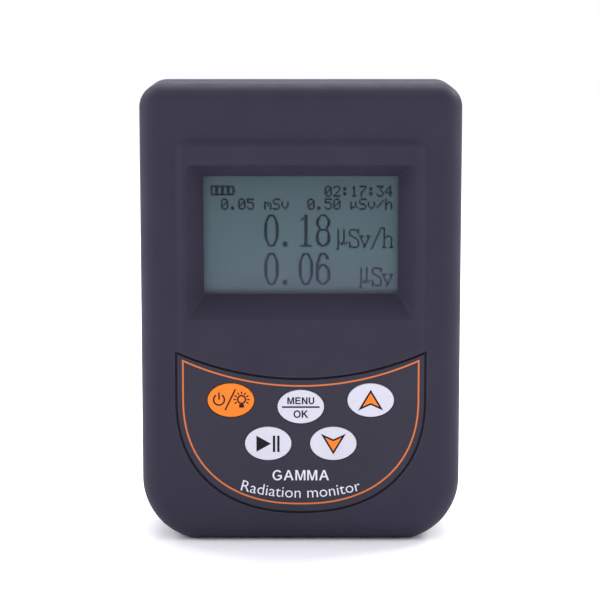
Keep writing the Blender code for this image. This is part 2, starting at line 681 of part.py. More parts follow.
# ---------------------------------------------------------------- board and electronics
def main_board():
    """The board, with notched corners round the bosses, and the two screws that hold it on its posts."""
    board = slab("main_board", [case_outline(BOARD_INSET, 3, 5)], BOARD_FRONT, BOARD_BACK, BOARD)
    near, far = BOARD_FRONT - 0.0012, BOARD_BACK + 0.0012
    clear, out = BOSS_RADIUS + 0.0004, 0.02
    for corner, level in ((TOP_BOSS, 1), (BOTTOM_BOSS, -1)):
        for x, z in both_sides(corner):
            side = math.copysign(1, x)
            wide_x, wide_z = sorted((x - side * clear, x + side * out)), sorted((z, z + level * out))
            tall_x, tall_z = sorted((x, x + side * out)), sorted((z - level * clear, z + level * out))
            cut(
                board,
                rod(f"board_notch_{x}_{z}", clear, (x, z), near, far),
                box(f"wide_notch_{x}_{z}", (wide_x[0], near, wide_z[0]), (wide_x[1], far, wide_z[1])),
                box(f"tall_notch_{x}_{z}", (tall_x[0], near, tall_z[0]), (tall_x[1], far, tall_z[1])),
            )
    bearing = BOARD_BACK + GAP
    for x, z in both_sides(BOARD_POST):
        cut(board, rod(f"board_hole_{x}", BOARD_HOLE_RADIUS, (x, z), near, far, 12))
        name = f"board_screw_{'right' if x > 0 else 'left'}"
        screw(name, x, z, bearing, SCREW_TIP, STEEL, BOARD_SCREW_RADIUS, BOARD_HEAD_RADIUS)


def board_components():
    on_back = BOARD_BACK + GAP
    chip = slab(
        "microcontroller",
        [rounded_rectangle(0.0050, 0.0570, 0.0670, 0.0004, 1)],
        on_back,
        on_back + 0.0014,
        BLACK,
    )
    round_edges(chip, 0.0003, 1, on_plane(on_back + 0.0014))
    rim, waist, height, cheek = 0.0045, 0.0032, 0.0055, 0.0012
    bobbin = [(0, height), (rim, height), (rim, height - cheek), (waist, height - cheek)]
    bobbin += [(waist, cheek), (rim, cheek), (rim, 0), (0, 0)]
    turned(
        "hv_transformer",
        bobbin,
        (-0.0180, on_back, 0.0455),
        FERRITE,
    )
    capacitor = box("hv_capacitor", (-0.0095, on_back, 0.0420), (-0.0023, on_back + 0.0062, 0.0470), ORANGE)
    round_edges(capacitor, 0.0006, 2, lambda p: p.y > 0)
    crystal_back = on_back + 0.0034
    can = rounded_rectangle(0.0055, 0.0500, 0.0545, 0.0022, 4)
    crystal = slab("crystal", [can], on_back, crystal_back, STEEL)
    round_edges(crystal, 0.0004, 1, on_plane(crystal_back))
    turned(
        "buzzer",
        [(0, 0.0040), (0.0012, 0.0040), (0.0012, 0.0034), (BUZZER_RADIUS - 0.0004, 0.0034)]
        + [(BUZZER_RADIUS, 0.0030), (BUZZER_RADIUS, 0), (0, 0)],
        (BUZZER_X, 0.0217, BUZZER_HEIGHT),
        BLACK,
    )


def vibration_motor():
    """A pager motor lying along X, with its off-centre weight on the shaft as a body that spins."""
    turned(
        "vibration_motor",
        [(0, 0.0120), (0.0012, 0.0120), (0.0012, 0.0112), (MOTOR_RADIUS, 0.0112), (MOTOR_RADIUS, 0), (0, 0)],
        (-0.0262, MOTOR_DEPTH, MOTOR_HEIGHT),
        STEEL,
        axis="X",
        steps=20,
    )
    shaft = rod("motor_weight", 0.0004, (MOTOR_DEPTH, MOTOR_HEIGHT), -0.0139, -0.0098, 10, BRASS, axis="X")
    half_disc = [(MOTOR_DEPTH + d, MOTOR_HEIGHT + z) for d, z in arc((0, 0.0007), 0.0026, 180, 360, 10)]
    join(shaft, slab("motor_weight_lobe", [half_disc], -0.0135, -0.0102, plane="YZ"))
    set_origin(shaft, (shaft.location.x, at(MOTOR_DEPTH), MOTOR_HEIGHT))


def detector():
    """The Geiger-Mueller tube, its energy-compensating sleeve and the two spring clips that hold its ends."""
    cap, pin = 0.0032, 0.0008
    body, ends = TUBE_HALF_LENGTH - 0.0060, TUBE_HALF_LENGTH - 0.0015
    right = [
        (0, TUBE_HALF_LENGTH),
        (pin, TUBE_HALF_LENGTH),
        (pin, ends),
        (cap, ends),
        (cap, body),
        (TUBE_RADIUS, body - 0.0008),
    ]
    left = [(radius, -along) for radius, along in reversed(right)]
    turned("gm_tube", right + left, (0, TUBE_DEPTH, TUBE_HEIGHT), STEEL, axis="X", steps=20)
    inner, outer, reach = TUBE_RADIUS + GAP, TUBE_RADIUS + 0.0009, 0.0170
    turned(
        "tube_filter",
        [(outer, reach), (outer, -reach), (inner, -reach), (inner, reach)],
        (0, TUBE_DEPTH, TUBE_HEIGHT),
        BRASS,
        axis="X",
        steps=20,
        closed=True,
    )
    grip, thickness, width = cap + GAP, 0.0004, 0.0016
    foot = BOARD_BACK + GAP
    centre = (TUBE_DEPTH, TUBE_HEIGHT)
    for side, x in (("left", -TUBE_CLIP_X), ("right", TUBE_CLIP_X)):
        profile = clip_profile(centre, grip, thickness, foot)
        slab(f"tube_clip_{side}", [profile], x - width, x + width, BRASS, plane="YZ")


def clip_profile(centre, grip, thickness, foot):
    """A U of spring strip: its foot lies on the board and its arms close round the tube's end cap."""
    outside = arc(centre, grip + thickness, 40, 140, 8) + [(foot, centre[1] + grip * 0.65 + thickness)]
    outside += [(foot, centre[1] - grip * 0.65 - thickness)] + arc(centre, grip + thickness, 220, 320, 8)
    inside = arc(centre, grip, 320, 220, 8) + [(foot + thickness, centre[1] - grip * 0.65)]
    inside += [(foot + thickness, centre[1] + grip * 0.65)] + arc(centre, grip, 140, 40, 8)
    return outside + inside


# ---------------------------------------------------------------- cells, contacts and door
TERMINAL_TAILS = (
    ("bridge", -CONTACT_X, 0.0240),
    ("positive", CONTACT_X, 0.0181),
    ("negative", CONTACT_X, 0.0297),
)


def cell(name, z, positive_side):
    """An AAA cell along X. Its positive nub is 0.3 mm from the contact plate on positive_side, -1 or 1."""
    nub, nub_length, tip = 0.0019, 0.0010, CONTACT_X - CONTACT_THICKNESS / 2 - GAP
    profile = [
        (0, tip),
        (nub, tip),
        (nub, tip - nub_length),
        (CELL_RADIUS - 0.0006, tip - nub_length),
        (CELL_RADIUS, tip - nub_length - 0.0005),
        (CELL_RADIUS, tip - CELL_LENGTH + 0.0003),
        (CELL_RADIUS - 0.0003, tip - CELL_LENGTH),
        (0, tip - CELL_LENGTH),
    ]
    made = turned(name, profile, (0, CELL_DEPTH, z), CELL_WRAP, axis="X")
    made.rotation_euler.y *= positive_side
    return made


def coil_spring(name, start_x, end_x, z):
    """A cone-shaped battery spring along X, wide at start_x and narrow at end_x."""
    per_turn = 12
    count = int(SPRING_TURNS * per_turn)
    points = []
    for i in range(count + 1):
        share, angle = i / count, 2 * math.pi * i / per_turn
        radius = SPRING_WIDE + (SPRING_NARROW - SPRING_WIDE) * share
        x = start_x + (end_x - start_x) * share
        points.append((x, CELL_DEPTH + radius * math.cos(angle), z + radius * math.sin(angle)))
    return wire(name, points, SPRING_WIRE, STEEL, resolution=0)


def battery_parts():
    cell("cell_lower", CELL_HEIGHTS["lower"], 1)
    cell("cell_upper", CELL_HEIGHTS["upper"], -1)
    half = CONTACT_THICKNESS / 2
    plates = {
        "bridge": (-CONTACT_X, 0.0138, 0.0340),
        "positive": (CONTACT_X, 0.0138, 0.0225),
        "negative": (CONTACT_X, 0.0253, 0.0340),
    }
    for name, x, tail_z in TERMINAL_TAILS:
        plate_x, low, high = plates[name]
        plate_low, plate_high = (plate_x - half, CONTACT_FRONT, low), (plate_x + half, CONTACT_BACK, high)
        tail_low = (x - half, BOARD_BACK + GAP, tail_z - TAIL_HALF_WIDTH)
        tail_high = (x + half, CONTACT_FRONT + 0.0008, tail_z + TAIL_HALF_WIDTH)
        join(box(f"contact_{name}", plate_low, plate_high, STEEL), box(f"tail_{name}", tail_low, tail_high))
    cell_end = CELL_LENGTH - (CONTACT_X - CONTACT_THICKNESS / 2 - GAP)
    clear = half + 0.0006
    coil_spring("battery_spring_lower", -CONTACT_X + clear, -cell_end - clear, CELL_HEIGHTS["lower"])
    coil_spring("battery_spring_upper", CONTACT_X - clear, cell_end + clear, CELL_HEIGHTS["upper"])


def battery_door():
    """The door tips open about its lower outer edge, where two tabs hook inside the case."""
    outline = rounded_rectangle(DOOR_HALF_WIDTH, DOOR_BOTTOM, DOOR_TOP, 0.0006, 2)
    door = slab("battery_door", [outline], DOOR_FRONT, CASE_DEPTH, SHELL)
    for side in (-1, 1):
        low, high = side * TAB_X - TAB_HALF_WIDTH, side * TAB_X + TAB_HALF_WIDTH
        profile = [
            (0.0248, 0.0090),
            (0.0257, 0.0090),
            (0.0257, 0.0127),
            (DOOR_FRONT + 0.0005, 0.0127),
            (DOOR_FRONT + 0.0005, 0.0137),
            (0.0248, 0.0137),
        ]
        join(door, slab(f"door_tab_{side}", [profile], low, high, plane="YZ"))
    beyond = CASE_DEPTH + 0.001
    for side in (-1, 1):
        low, high = sorted((side * LATCH_SLIT_X, side * (LATCH_SLIT_X + LATCH_SLIT_WIDTH)))
        slit_low, slit_high = (low, DOOR_FRONT - 0.0004, LATCH_SLIT_BOTTOM), (high, beyond, DOOR_TOP + 0.0009)
        cut(door, box(f"latch_slit_{side}", slit_low, slit_high))
    cut(door, rod("latch_dish", DISH_RADIUS, (0, DISH_HEIGHT), DISH_DEPTH, beyond, 24))
    set_origin(door, (0, at(CASE_DEPTH), DOOR_BOTTOM))
    pad_low, pad_high = (-PAD_HALF_WIDTH, PAD_FRONT, PAD_BOTTOM), (PAD_HALF_WIDTH, DOOR_FRONT - GAP, PAD_TOP)
    box("door_pad", pad_low, pad_high, FOAM)


# ---------------------------------------------------------------- belt clip
def belt_clip():
    """The clip's plate, with its jaw tip and the two knuckles that turn on the pin."""
    inner, outer = CASE_DEPTH + CLIP_GAP, CASE_DEPTH + CLIP_GAP + CLIP_PLATE
    corner = CLIP_CORNER
    right = arc((CLIP_TIP_HALF_WIDTH - corner, CLIP_TIP + corner), corner, -90, 0, 4)
    right += arc((CLIP_HALF_WIDTH - corner, CLIP_TOP - corner), corner, 0, 90, 4)
    clip = slab("belt_clip", [mirrored(right)], inner, outer, SHELL)
    round_edges(clip, CLIP_EDGE, 2, on_plane(outer))
    jaw = CLIP_TIP_HALF_WIDTH - 0.0020
    root = inner + 0.0005
    jaw_profile = [(CASE_DEPTH + GAP, 0.0481), (CASE_DEPTH + GAP, 0.0491), (root, 0.0508), (root, 0.0466)]
    join(clip, slab("clip_jaw", [jaw_profile], -jaw, jaw, plane="YZ"))
    axis, reach = (PIVOT_DEPTH, PIVOT_HEIGHT), KNUCKLE_OUTER + 0.0014
    web_half = KNUCKLE_RADIUS - 0.0001
    for side in (-1, 1):
        low, high = sorted((side * KNUCKLE_INNER, side * KNUCKLE_OUTER))
        join(clip, rod(f"knuckle_{side}", KNUCKLE_RADIUS, axis, low, high, 18, axis="X"))
        web_low = (low + 0.0001, PIVOT_DEPTH, PIVOT_HEIGHT - web_half)
        join(clip, box(f"knuckle_web_{side}", web_low, (high - 0.0001, root, PIVOT_HEIGHT + web_half)))
    cut(clip, rod("knuckle_bore", BORE_RADIUS, axis, -reach, reach, 16, axis="X"))
    for number in range(GROOVES):
        z = GROOVE_START + GROOVE_PITCH * number
        low = (-GROOVE_HALF_LENGTH, outer - GROOVE_DEPTH, z)
        cut(clip, box(f"thumb_groove_{number}", low, (GROOVE_HALF_LENGTH, outer + 0.001, z + GROOVE_WIDTH)))
    return set_origin(clip, (0, at(PIVOT_DEPTH), PIVOT_HEIGHT))


def clip_bracket():
    """The stamped bracket on the case's back: a base plate with two ears for the pin."""
    base_front = CASE_DEPTH + GAP
    base_back = base_front + BRACKET_THICKNESS
    outline = rounded_rectangle(BRACKET_HALF_WIDTH, BRACKET_BOTTOM, BRACKET_TOP, 0.0015, 2)
    bracket = slab("clip_bracket", [outline], base_front, base_back, STEEL)
    axis, foot = (PIVOT_DEPTH, PIVOT_HEIGHT), base_back - 0.0003
    ear = arc(axis, EAR_RADIUS, 90, -90, 8)
    ear += [(foot, PIVOT_HEIGHT - EAR_HALF_FOOT), (foot, PIVOT_HEIGHT + EAR_HALF_FOOT)]
    for side in (-1, 1):
        low, high = sorted((side * EAR_INNER, side * EAR_OUTER))
        join(bracket, slab(f"ear_{side}", [ear], low, high, plane="YZ"))
    reach = EAR_OUTER + 0.0011
    cut(bracket, rod("ear_bore", BORE_RADIUS, axis, -reach, reach, 16, axis="X"))
    for x, z in both_sides(BRACKET_SCREW):
        cut(bracket, rod(f"bracket_screw_hole_{x}", SCREW_HOLE_RADIUS, (x, z), 0.0280, 0.0300, 16))
        side = "right" if x > 0 else "left"
        screw(f"bracket_screw_{side}", x, z, base_back + GAP, 0.0250, STEEL, 0.0009, 0.0018)


def clip_pin_and_spring():
    ear = EAR_OUTER + GAP
    half = [(0, ear + PIN_HEAD_LENGTH), (PIN_HEAD_RADIUS, ear + PIN_HEAD_LENGTH)]
    half += [(PIN_HEAD_RADIUS, ear), (PIN_RADIUS, ear)]
    profile = half + [(radius, -along) for radius, along in reversed(half)]
    turned("clip_pin", profile, (0, PIVOT_DEPTH, PIVOT_HEIGHT), STEEL, axis="X", steps=16)
    per_turn, radius, half_length = 12, TORSION_RADIUS, TORSION_HALF_LENGTH
    count = TORSION_TURNS * per_turn
    coil = []
    for i in range(count + 1):
        angle = 2 * math.pi * i / per_turn
        x = -half_length + 2 * half_length * i / count
        coil.append((x, PIVOT_DEPTH - radius * math.cos(angle), PIVOT_HEIGHT + radius * math.sin(angle)))
    low_leg = (-half_length, PIVOT_DEPTH - radius, PIVOT_HEIGHT - 0.0060)
    top_leg = (half_length, CASE_DEPTH + CLIP_GAP - 0.0007, PIVOT_HEIGHT + 0.0070)
    wire("clip_spring", [low_leg, *coil, top_leg], TORSION_WIRE, STEEL, resolution=0)


def case_screws():
    names = {True: "right", False: "left"}
    for level, corner, _ in BOSSES:
        for x, z in both_sides(corner):
            screw(f"case_screw_{level}_{names[x > 0]}", x, z, COUNTERBORE_DEPTH + GAP, SCREW_TIP, STEEL)


front_shell()
rear_shell()
display_parts()
keypad_overlay()
key_parts()
main_board()
board_components()
vibration_motor()
detector()
battery_parts()
battery_door()
belt_clip()
clip_bracket()
clip_pin_and_spring()
case_screws()
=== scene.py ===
"""The looks of a pocket dose meter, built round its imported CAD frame.

Lengths are in metres, in the frame's own axes: +Z up, and the display and keypad face -Y. A "depth" is
measured from the case's front face towards its back, and at() turns it into a Y coordinate.
"""

import math

import bmesh
import bpy
from mathutils import Matrix, Vector


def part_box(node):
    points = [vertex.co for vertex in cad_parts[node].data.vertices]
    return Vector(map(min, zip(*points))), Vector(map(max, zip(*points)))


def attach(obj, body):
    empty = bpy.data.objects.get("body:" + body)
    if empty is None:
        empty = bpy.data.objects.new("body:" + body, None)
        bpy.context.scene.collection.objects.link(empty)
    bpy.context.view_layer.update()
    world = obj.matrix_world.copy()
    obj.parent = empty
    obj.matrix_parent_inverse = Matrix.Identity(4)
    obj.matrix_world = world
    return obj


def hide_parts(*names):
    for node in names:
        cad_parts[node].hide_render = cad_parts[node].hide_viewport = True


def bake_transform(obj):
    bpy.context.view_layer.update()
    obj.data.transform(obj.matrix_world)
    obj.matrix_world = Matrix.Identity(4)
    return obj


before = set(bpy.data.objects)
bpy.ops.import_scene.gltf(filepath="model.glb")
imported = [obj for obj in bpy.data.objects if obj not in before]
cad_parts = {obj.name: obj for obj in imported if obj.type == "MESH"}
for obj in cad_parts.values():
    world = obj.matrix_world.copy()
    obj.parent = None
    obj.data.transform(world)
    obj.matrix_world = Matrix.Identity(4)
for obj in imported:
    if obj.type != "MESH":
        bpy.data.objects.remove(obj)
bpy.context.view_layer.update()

CASE_WIDTH, CASE_HEIGHT, CASE_DEPTH = 0.072, 0.1036, 0.028
FACE_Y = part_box("rear_shell")[1].y - CASE_DEPTH
TOP_RADIUS, BOTTOM_RADIUS, BOTTOM_FLAT_CUT = 0.0053, 0.0146, 0.00045
EDGE_RADIUS = 0.0042
WALL = 0.0020
PARTING_DEPTH = 0.0140
GAP = 0.0003
OUTSIDE = CASE_DEPTH + 0.001  # where cutters that come from behind end

PANEL_RAISE = 0.0012
PANEL_HALF_WIDTH, PANEL_BOTTOM, PANEL_TOP = 0.0282, 0.0360, 0.0919
PANEL_CORNER, PANEL_EDGE, PANEL_LOW_SHARE = 0.0032, 0.0021, 0.06

VIEW_HALF_WIDTH, VIEW_BOTTOM, VIEW_TOP, VIEW_DEPTH = 0.0218, 0.0564, 0.0829, 0.0038
SLOPE_SIDE, SLOPE_TOP, SLOPE_BOTTOM = 0.77, 0.60, 1.05

KEYPAD = {"half": 0.02825, "middle": 0.03775, "radius": 0.0680, "sides": 0.0330, "bottom": 0.0066}
OVERLAY = {"half": 0.02775, "middle": 0.03725, "radius": 0.0685, "sides": 0.0330, "bottom": 0.0071}
BORDER = {"half": 0.0265, "middle": 0.0359, "radius": 0.0640, "sides": 0.0331, "bottom": 0.00880}
KEYPAD_POWER = 2.3
POCKET_DEPTH, OVERLAY_FRONT, OVERLAY_BACK = 0.00095, 0.00005, 0.00065

KEY_WIDTH, KEY_HEIGHT = 0.0105, 0.0077
KEY_FRONT = -0.00012
PRINT_FRONT, PRINT_BACK = -0.000018, 0.0001  # of a printed piece, from the face that it is on
KEYS = {
    "power": (-0.01575, 0.03265),
    "menu": (0.0, 0.03116),
    "up": (0.01575, 0.03265),
    "play": (-0.00735, 0.0227),
    "down": (0.00735, 0.0227),
}

TOP_BOSS, BOTTOM_BOSS = (0.0292, 0.0962), (0.0298, 0.0138)
BOSSES = ((TOP_BOSS, 0.0132), (BOTTOM_BOSS, 0.0122))
BOARD_POST = (0.0275, 0.0470)

CELL_RADIUS, CELL_LENGTH, CELL_DEPTH = 0.00525, 0.0445, 0.0195
CELL_HEIGHTS = {"lower": 0.0181, "upper": 0.0297}
CONTACT_X, CONTACT_THICKNESS = 0.0249, 0.0004
BAY_HALF_WIDTH, BAY_BOTTOM, BAY_TOP, BAY_WALL = 0.0254, 0.0122, 0.0356, 0.0022
BAY_FLOOR_FRONT, BAY_FLOOR_BACK = 0.0126, 0.0138
DOOR_HALF_WIDTH, DOOR_BOTTOM, DOOR_TOP, DOOR_FRONT = 0.0264, 0.0107, 0.0371, 0.0264
TAB_X, TAB_HALF_WIDTH = 0.0150, 0.0030

CLIP_INNER, CLIP_OUTER = 0.0328, 0.0348
CLIP_TIP, CLIP_TOP, CLIP_TIP_HALF_WIDTH, CLIP_HALF_WIDTH = 0.0460, 0.0930, 0.0085, 0.0100
PIVOT_DEPTH, PIVOT_HEIGHT = 0.0308, 0.0800
BRACKET_HALF_WIDTH, BRACKET_BOTTOM, BRACKET_TOP = 0.0085, 0.0680, 0.0860
BRACKET_SCREW = (0.0050, 0.0720)
KNUCKLE_SPAN, EAR_SPAN = (0.0042, 0.0066), (0.0070, 0.0079)  # both along X, on the clip's pin
BUZZER_X, BUZZER_HEIGHT = 0.0210, 0.0620

CORNER_STEPS = 24  # points on each corner of the outlines that the shells are lofted through


def at(depth):
    """The Y coordinate of a plane this deep behind the case's front face."""
    return FACE_Y + depth


# ---- materials
class Surface:
    """A procedural material: mottled colour, grain in its bump, an uneven gloss and lighter edges, which are
    scuffs and, on the case, a painted highlight.
    """

    def __init__(self, name, color, roughness, metallic=0.0, specular=0.5):
        self.material = bpy.data.materials.new(name)
        self.material.use_nodes = True
        self.tree = self.material.node_tree
        self.shader = self.tree.nodes["Principled BSDF"]
        self.fill(self.shader, {"Metallic": metallic, "Specular IOR Level": specular})
        self.place = self.node("TexCoord").outputs["Object"]
        self.color = color
        self.roughness = roughness

    def fill(self, node, inputs):
        """Sets a node's inputs to values, or links them to the sockets given."""
        for name, value in inputs.items():
            if isinstance(value, bpy.types.NodeSocket):
                self.tree.links.new(value, node.inputs[name])
            else:
                node.inputs[name].default_value = value

    def node(self, kind, inputs=None, **settings):
        made = self.tree.nodes.new("ShaderNode" + kind)
        for name, value in settings.items():
            setattr(made, name, value)
        self.fill(made, inputs or {})
        return made

    def noise(self, feature, detail=3.0, stretch=None):
        """A noise pattern with features this many metres across, drawn out along an axis by stretch."""
        place = self.place
        if stretch:
            place = self.node("Mapping", {"Scale": stretch, "Vector": place}).outputs["Vector"]
        inputs = {"Scale": 1 / feature, "Detail": detail, "Vector": place}
        return self.node("TexNoise", inputs).outputs["Fac"]

    def spread_out(self, value, start, end, low=0.0, high=1.0):
        """Maps a value that runs from start to end onto low to high."""
        limits = {"From Min": start, "From Max": end, "To Min": low, "To Max": high}
        return self.node("MapRange", {**limits, "Value": value}).outputs["Result"]

    def ramp(self, factor, stops):
        """Colours along a factor: stops is a list of (position, colour)."""
        node = self.node("ValToRGB", {"Fac": factor})
        elements = node.color_ramp.elements
        while len(elements) < len(stops):
            elements.new(0.5)
        for element, (position, color) in zip(elements, stops):
            element.position = position
            element.color = (*color, 1.0)
        return node.outputs["Color"]

    def by_height(self, stops):
        """Colours between the display's lower and upper edge."""
        place = self.node("SeparateXYZ", {"Vector": self.place})
        return self.ramp(self.spread_out(place.outputs["Z"], VIEW_BOTTOM, VIEW_TOP), stops)

    def mottle(self, feature, spread, stretch=None):
        """Paints the base colour, a little darker and lighter in patches."""
        low = tuple(c * (1 - spread) for c in self.color)
        high = tuple(min(1.0, c * (1 + spread)) for c in self.color)
        self.paint = self.ramp(self.noise(feature, 4.0, stretch), [(0.3, low), (0.7, high)])
        self.fill(self.shader, {"Base Color": self.paint})
        return self

    def gloss(self, feature, spread, stretch=None):
        """Makes the roughness uneven by spread either way."""
        low, high = max(0.02, self.roughness - spread), min(1.0, self.roughness + spread)
        uneven = self.spread_out(self.noise(feature, 2.0, stretch), 0.3, 0.7, low, high)
        self.fill(self.shader, {"Roughness": uneven})
        return self

    def grain(self, feature, height, strength=0.5, stretch=None):
        """Raises a fine grain whose bumps are this high, in metres."""
        pattern = self.noise(feature, 2.0, stretch)
        bump = self.node("Bump", {"Strength": strength, "Distance": height, "Height": pattern})
        self.fill(self.shader, {"Normal": bump.outputs["Normal"]})
        return self

    def wear_and_highlight(self, color, reach, amount):
        """Lightens the edges in a band this wide and in patches: scuffs, and on the case a painted highlight
        where its edges catch the light.
        """
        rounded = self.node("Bevel", {"Radius": reach}, samples=4).outputs["Normal"]
        flat = self.node("NewGeometry").outputs["Normal"]
        turn = self.node("VectorMath", {0: rounded, 1: flat}, operation="DOT_PRODUCT").outputs["Value"]
        edge = self.spread_out(turn, 0.995, 0.90, 0.0, amount)
        patches = self.noise(0.003, 3.0)
        patchy = self.node("Math", {0: edge, 1: patches}, operation="MULTIPLY").outputs["Value"]
        mix = self.node("Mix", {"Factor": patchy, "A": self.paint, "B": (*color, 1.0)}, data_type="RGBA")
        self.fill(self.shader, {"Base Color": mix.outputs["Result"]})
        return self


def rubbed_colour(color):
    """What a colour turns to where edges are rubbed: a little lighter."""
    return tuple(min(1.0, 1.4 * c + 0.02) for c in color)


def plastic(
    name,
    color,
    roughness,
    specular=0.4,
    bump=1e-5,
    feature=0.00022,
    spread=0.06,
    wear_and_highlight_amount=0.35,
    wear_and_highlight_colour=None,
    reach=0.00015,
):
    """A moulded or printed surface whose edges are lightened by this much towards the edge colour: scuffs,
    and on the case a painted highlight. Prints have no lightened edges.
    """
    made = Surface(name, color, roughness, specular=specular)
    made.mottle(0.012, spread).gloss(0.004, 0.05).grain(feature, bump)
    if wear_and_highlight_amount:
        made.wear_and_highlight(wear_and_highlight_colour or rubbed_colour(color), reach, wear_and_highlight_amount)
    return made.material


def metal(name, color, roughness, stretch=(1, 1, 12)):
    """A metal whose patches and grain are drawn out along one axis."""
    made = Surface(name, color, roughness, metallic=1.0)
    made.mottle(0.002, 0.10, stretch).gloss(0.001, 0.08, stretch).grain(0.0003, 0.000004, 0.4, stretch)
    return made.wear_and_highlight(rubbed_colour(color), 0.00012, 0.6).material


# Painted highlight: the case's sharp edges are lightened in patches towards the colour of its lit edges.
CASE_EDGE_HIGHLIGHT = {"wear_and_highlight_amount": 0.5, "wear_and_highlight_colour": (0.11, 0.105, 0.14), "reach": 0.00025}
CASE = plastic("case_plastic", (0.0262, 0.0234, 0.0390), 0.55, specular=0.14, **CASE_EDGE_HIGHLIGHT)
FILM = plastic("overlay_film", (0.0290, 0.0265, 0.0410), 0.45, specular=0.14, bump=3e-6, feature=0.00012)
WHITE = plastic("key_white", (0.565, 0.565, 0.625), 0.5, specular=0.2, bump=4e-6, spread=0.03)
ORANGE = plastic("key_orange", (0.82, 0.195, 0.018), 0.5, specular=0.15, bump=4e-6, spread=0.03)
LINE = plastic("border_orange", (0.57, 0.15, 0.038), 0.5, specular=0.15, bump=3e-6, spread=0.05, wear_and_highlight_amount=0)
INK = plastic("ink_dark", (0.010, 0.008, 0.014), 0.6, specular=0.10, bump=2e-6, spread=0.1, wear_and_highlight_amount=0)
PRINT = plastic("ink_white", (0.66, 0.65, 0.70), 0.5, specular=0.2, bump=2e-6, spread=0.05, wear_and_highlight_amount=0)
BLACK = plastic("moulded_black", (0.012, 0.012, 0.013), 0.5)
DIFFUSER = plastic("diffuser_white", (0.78, 0.78, 0.75), 0.55, spread=0.03)
BOARD = plastic("board_mask", (0.012, 0.085, 0.030), 0.35, spread=0.25, feature=0.0008)
RIBBON = plastic("ribbon_film", (0.42, 0.20, 0.035), 0.35, spread=0.12)
FERRITE = plastic("ferrite", (0.028, 0.028, 0.031), 0.62, bump=2e-5)
RESIN = plastic("capacitor_resin", (0.60, 0.16, 0.020), 0.30, spread=0.10)
FOAM = plastic("foam", (0.030, 0.030, 0.032), 0.95, specular=0.2, bump=0.00012, feature=0.0006, spread=0.3)
WRAP = plastic("cell_wrap", (0.012, 0.045, 0.150), 0.28, specular=0.5, bump=2e-6, spread=0.08)
STEEL = metal("plated_steel", (0.56, 0.56, 0.58), 0.30)
DARK_STEEL = metal("screw_steel", (0.20, 0.20, 0.215), 0.36, (1, 1, 1))
BRASS = metal("satin_brass", (0.66, 0.45, 0.18), 0.32)
TUBE = metal("tube_steel", (0.46, 0.45, 0.43), 0.38, (14, 1, 1))


def window_material():
    """Clear acrylic, faintly tinted, with fine smears in its gloss."""
    made = Surface("window_acrylic", (0.20, 0.24, 0.25), 0.12, specular=0.08)
    made.shader.inputs["Alpha"].default_value = 0.03
    return made.mottle(0.02, 0.04).gloss(0.006, 0.04).material


def display_material():
    """The display's grey-green glass with painted shade, darker towards its upper end and lighter towards its
    lower end, and a faint mottling.
    """
    made = Surface("display_glass", (0.1, 0.14, 0.15), 0.4, specular=0.10)
    # Painted shade: the glass colour runs from light at the display's lower edge to dark at its upper edge.
    low, middle, high = (0.092, 0.122, 0.142), (0.074, 0.116, 0.128), (0.056, 0.090, 0.100)
    painted_shade_by_height = made.by_height([(0.0, low), (0.35, middle), (1.0, high)])
    patches = made.ramp(made.noise(0.010, 3.0), [(0.3, (0.94, 0.94, 0.94)), (0.7, (1.0, 1.0, 1.0))])
    settings = {"data_type": "RGBA", "blend_type": "MULTIPLY"}
    mix = made.node("Mix", {"Factor": 1.0, "A": painted_shade_by_height, "B": patches}, **settings)
    made.fill(made.shader, {"Base Color": mix.outputs["Result"]})
    return made.gloss(0.008, 0.05).material


def dot_material(name, low, middle, high):
    """The display's dark dots, bluer and paler in the lowest row."""
    made = Surface(name, middle, 0.5, specular=0.05)
    made.fill(made.shader, {"Base Color": made.by_height([(0.05, low), (0.38, middle), (0.6, high)])})
    return made.gloss(0.004, 0.05).material


WINDOW = window_material()
DISPLAY = display_material()
DOTS = dot_material("display_dots", (0.035, 0.041, 0.081), (0.015, 0.020, 0.034), (0.010, 0.015, 0.021))
DOT_SHADOWS = dot_material(
    "display_dot_shadows", (0.040, 0.047, 0.085), (0.017, 0.023, 0.037), (0.010, 0.015, 0.020)
)


# ---- modelling helpers
def link(obj, material=None):
    for old in list(obj.users_collection):
        old.objects.unlink(obj)
    bpy.context.scene.collection.objects.link(obj)
    if material is not None:
        obj.data.materials.clear()
        obj.data.materials.append(material)
    return obj


def shade(obj, degrees=34):
    obj.data.shade_smooth()
    obj.data.set_sharp_from_angle(angle=math.radians(degrees))
    return obj


def from_bmesh(name, work, material=None):
    """The bmesh as a new object, with its faces turned outwards."""
    bmesh.ops.remove_doubles(work, verts=work.verts, dist=1e-7)
    bmesh.ops.recalc_face_normals(work, faces=work.faces)
    mesh = bpy.data.meshes.new(name)
    work.to_mesh(mesh)
    work.free()
    return shade(link(bpy.data.objects.new(name, mesh), material))


def evaluated_mesh(obj):
    bpy.context.view_layer.update()
    graph = bpy.context.evaluated_depsgraph_get()
    mesh = bpy.data.meshes.new_from_object(obj.evaluated_get(graph))
    mesh.transform(obj.matrix_world)
    return mesh


def bake(obj):
    """Applies obj's modifiers and its place, so that its mesh is in the frame's coordinates."""
    mesh = evaluated_mesh(obj)
    obj.modifiers.clear()
    obj.data = mesh
    obj.matrix_world = Matrix.Identity(4)
    return obj


def combine(target, operation, *helpers):
    """Cuts the helpers from target, or joins them to it, and removes them."""
    for helper in helpers:
        modifier = target.modifiers.new(helper.name, "BOOLEAN")
        modifier.operation = operation
        modifier.solver = "EXACT"
        modifier.object = helper
    bake(target)
    for helper in helpers:
        bpy.data.objects.remove(helper)
    return target


def cut(target, *helpers):
    return combine(target, "DIFFERENCE", *helpers)


def join(target, *helpers):
    return combine(target, "UNION", *helpers)


def soften(obj, width, segments=3, degrees=34):
    """Rounds the sharp edges."""
    bevel = obj.modifiers.new("round", "BEVEL")
    bevel.width = width
    bevel.segments = segments
    bevel.limit_method = "ANGLE"
    bevel.angle_limit = math.radians(degrees)
    bevel.use_clamp_overlap = True
    bevel.miter_outer = "MITER_ARC"
    return bake(obj)


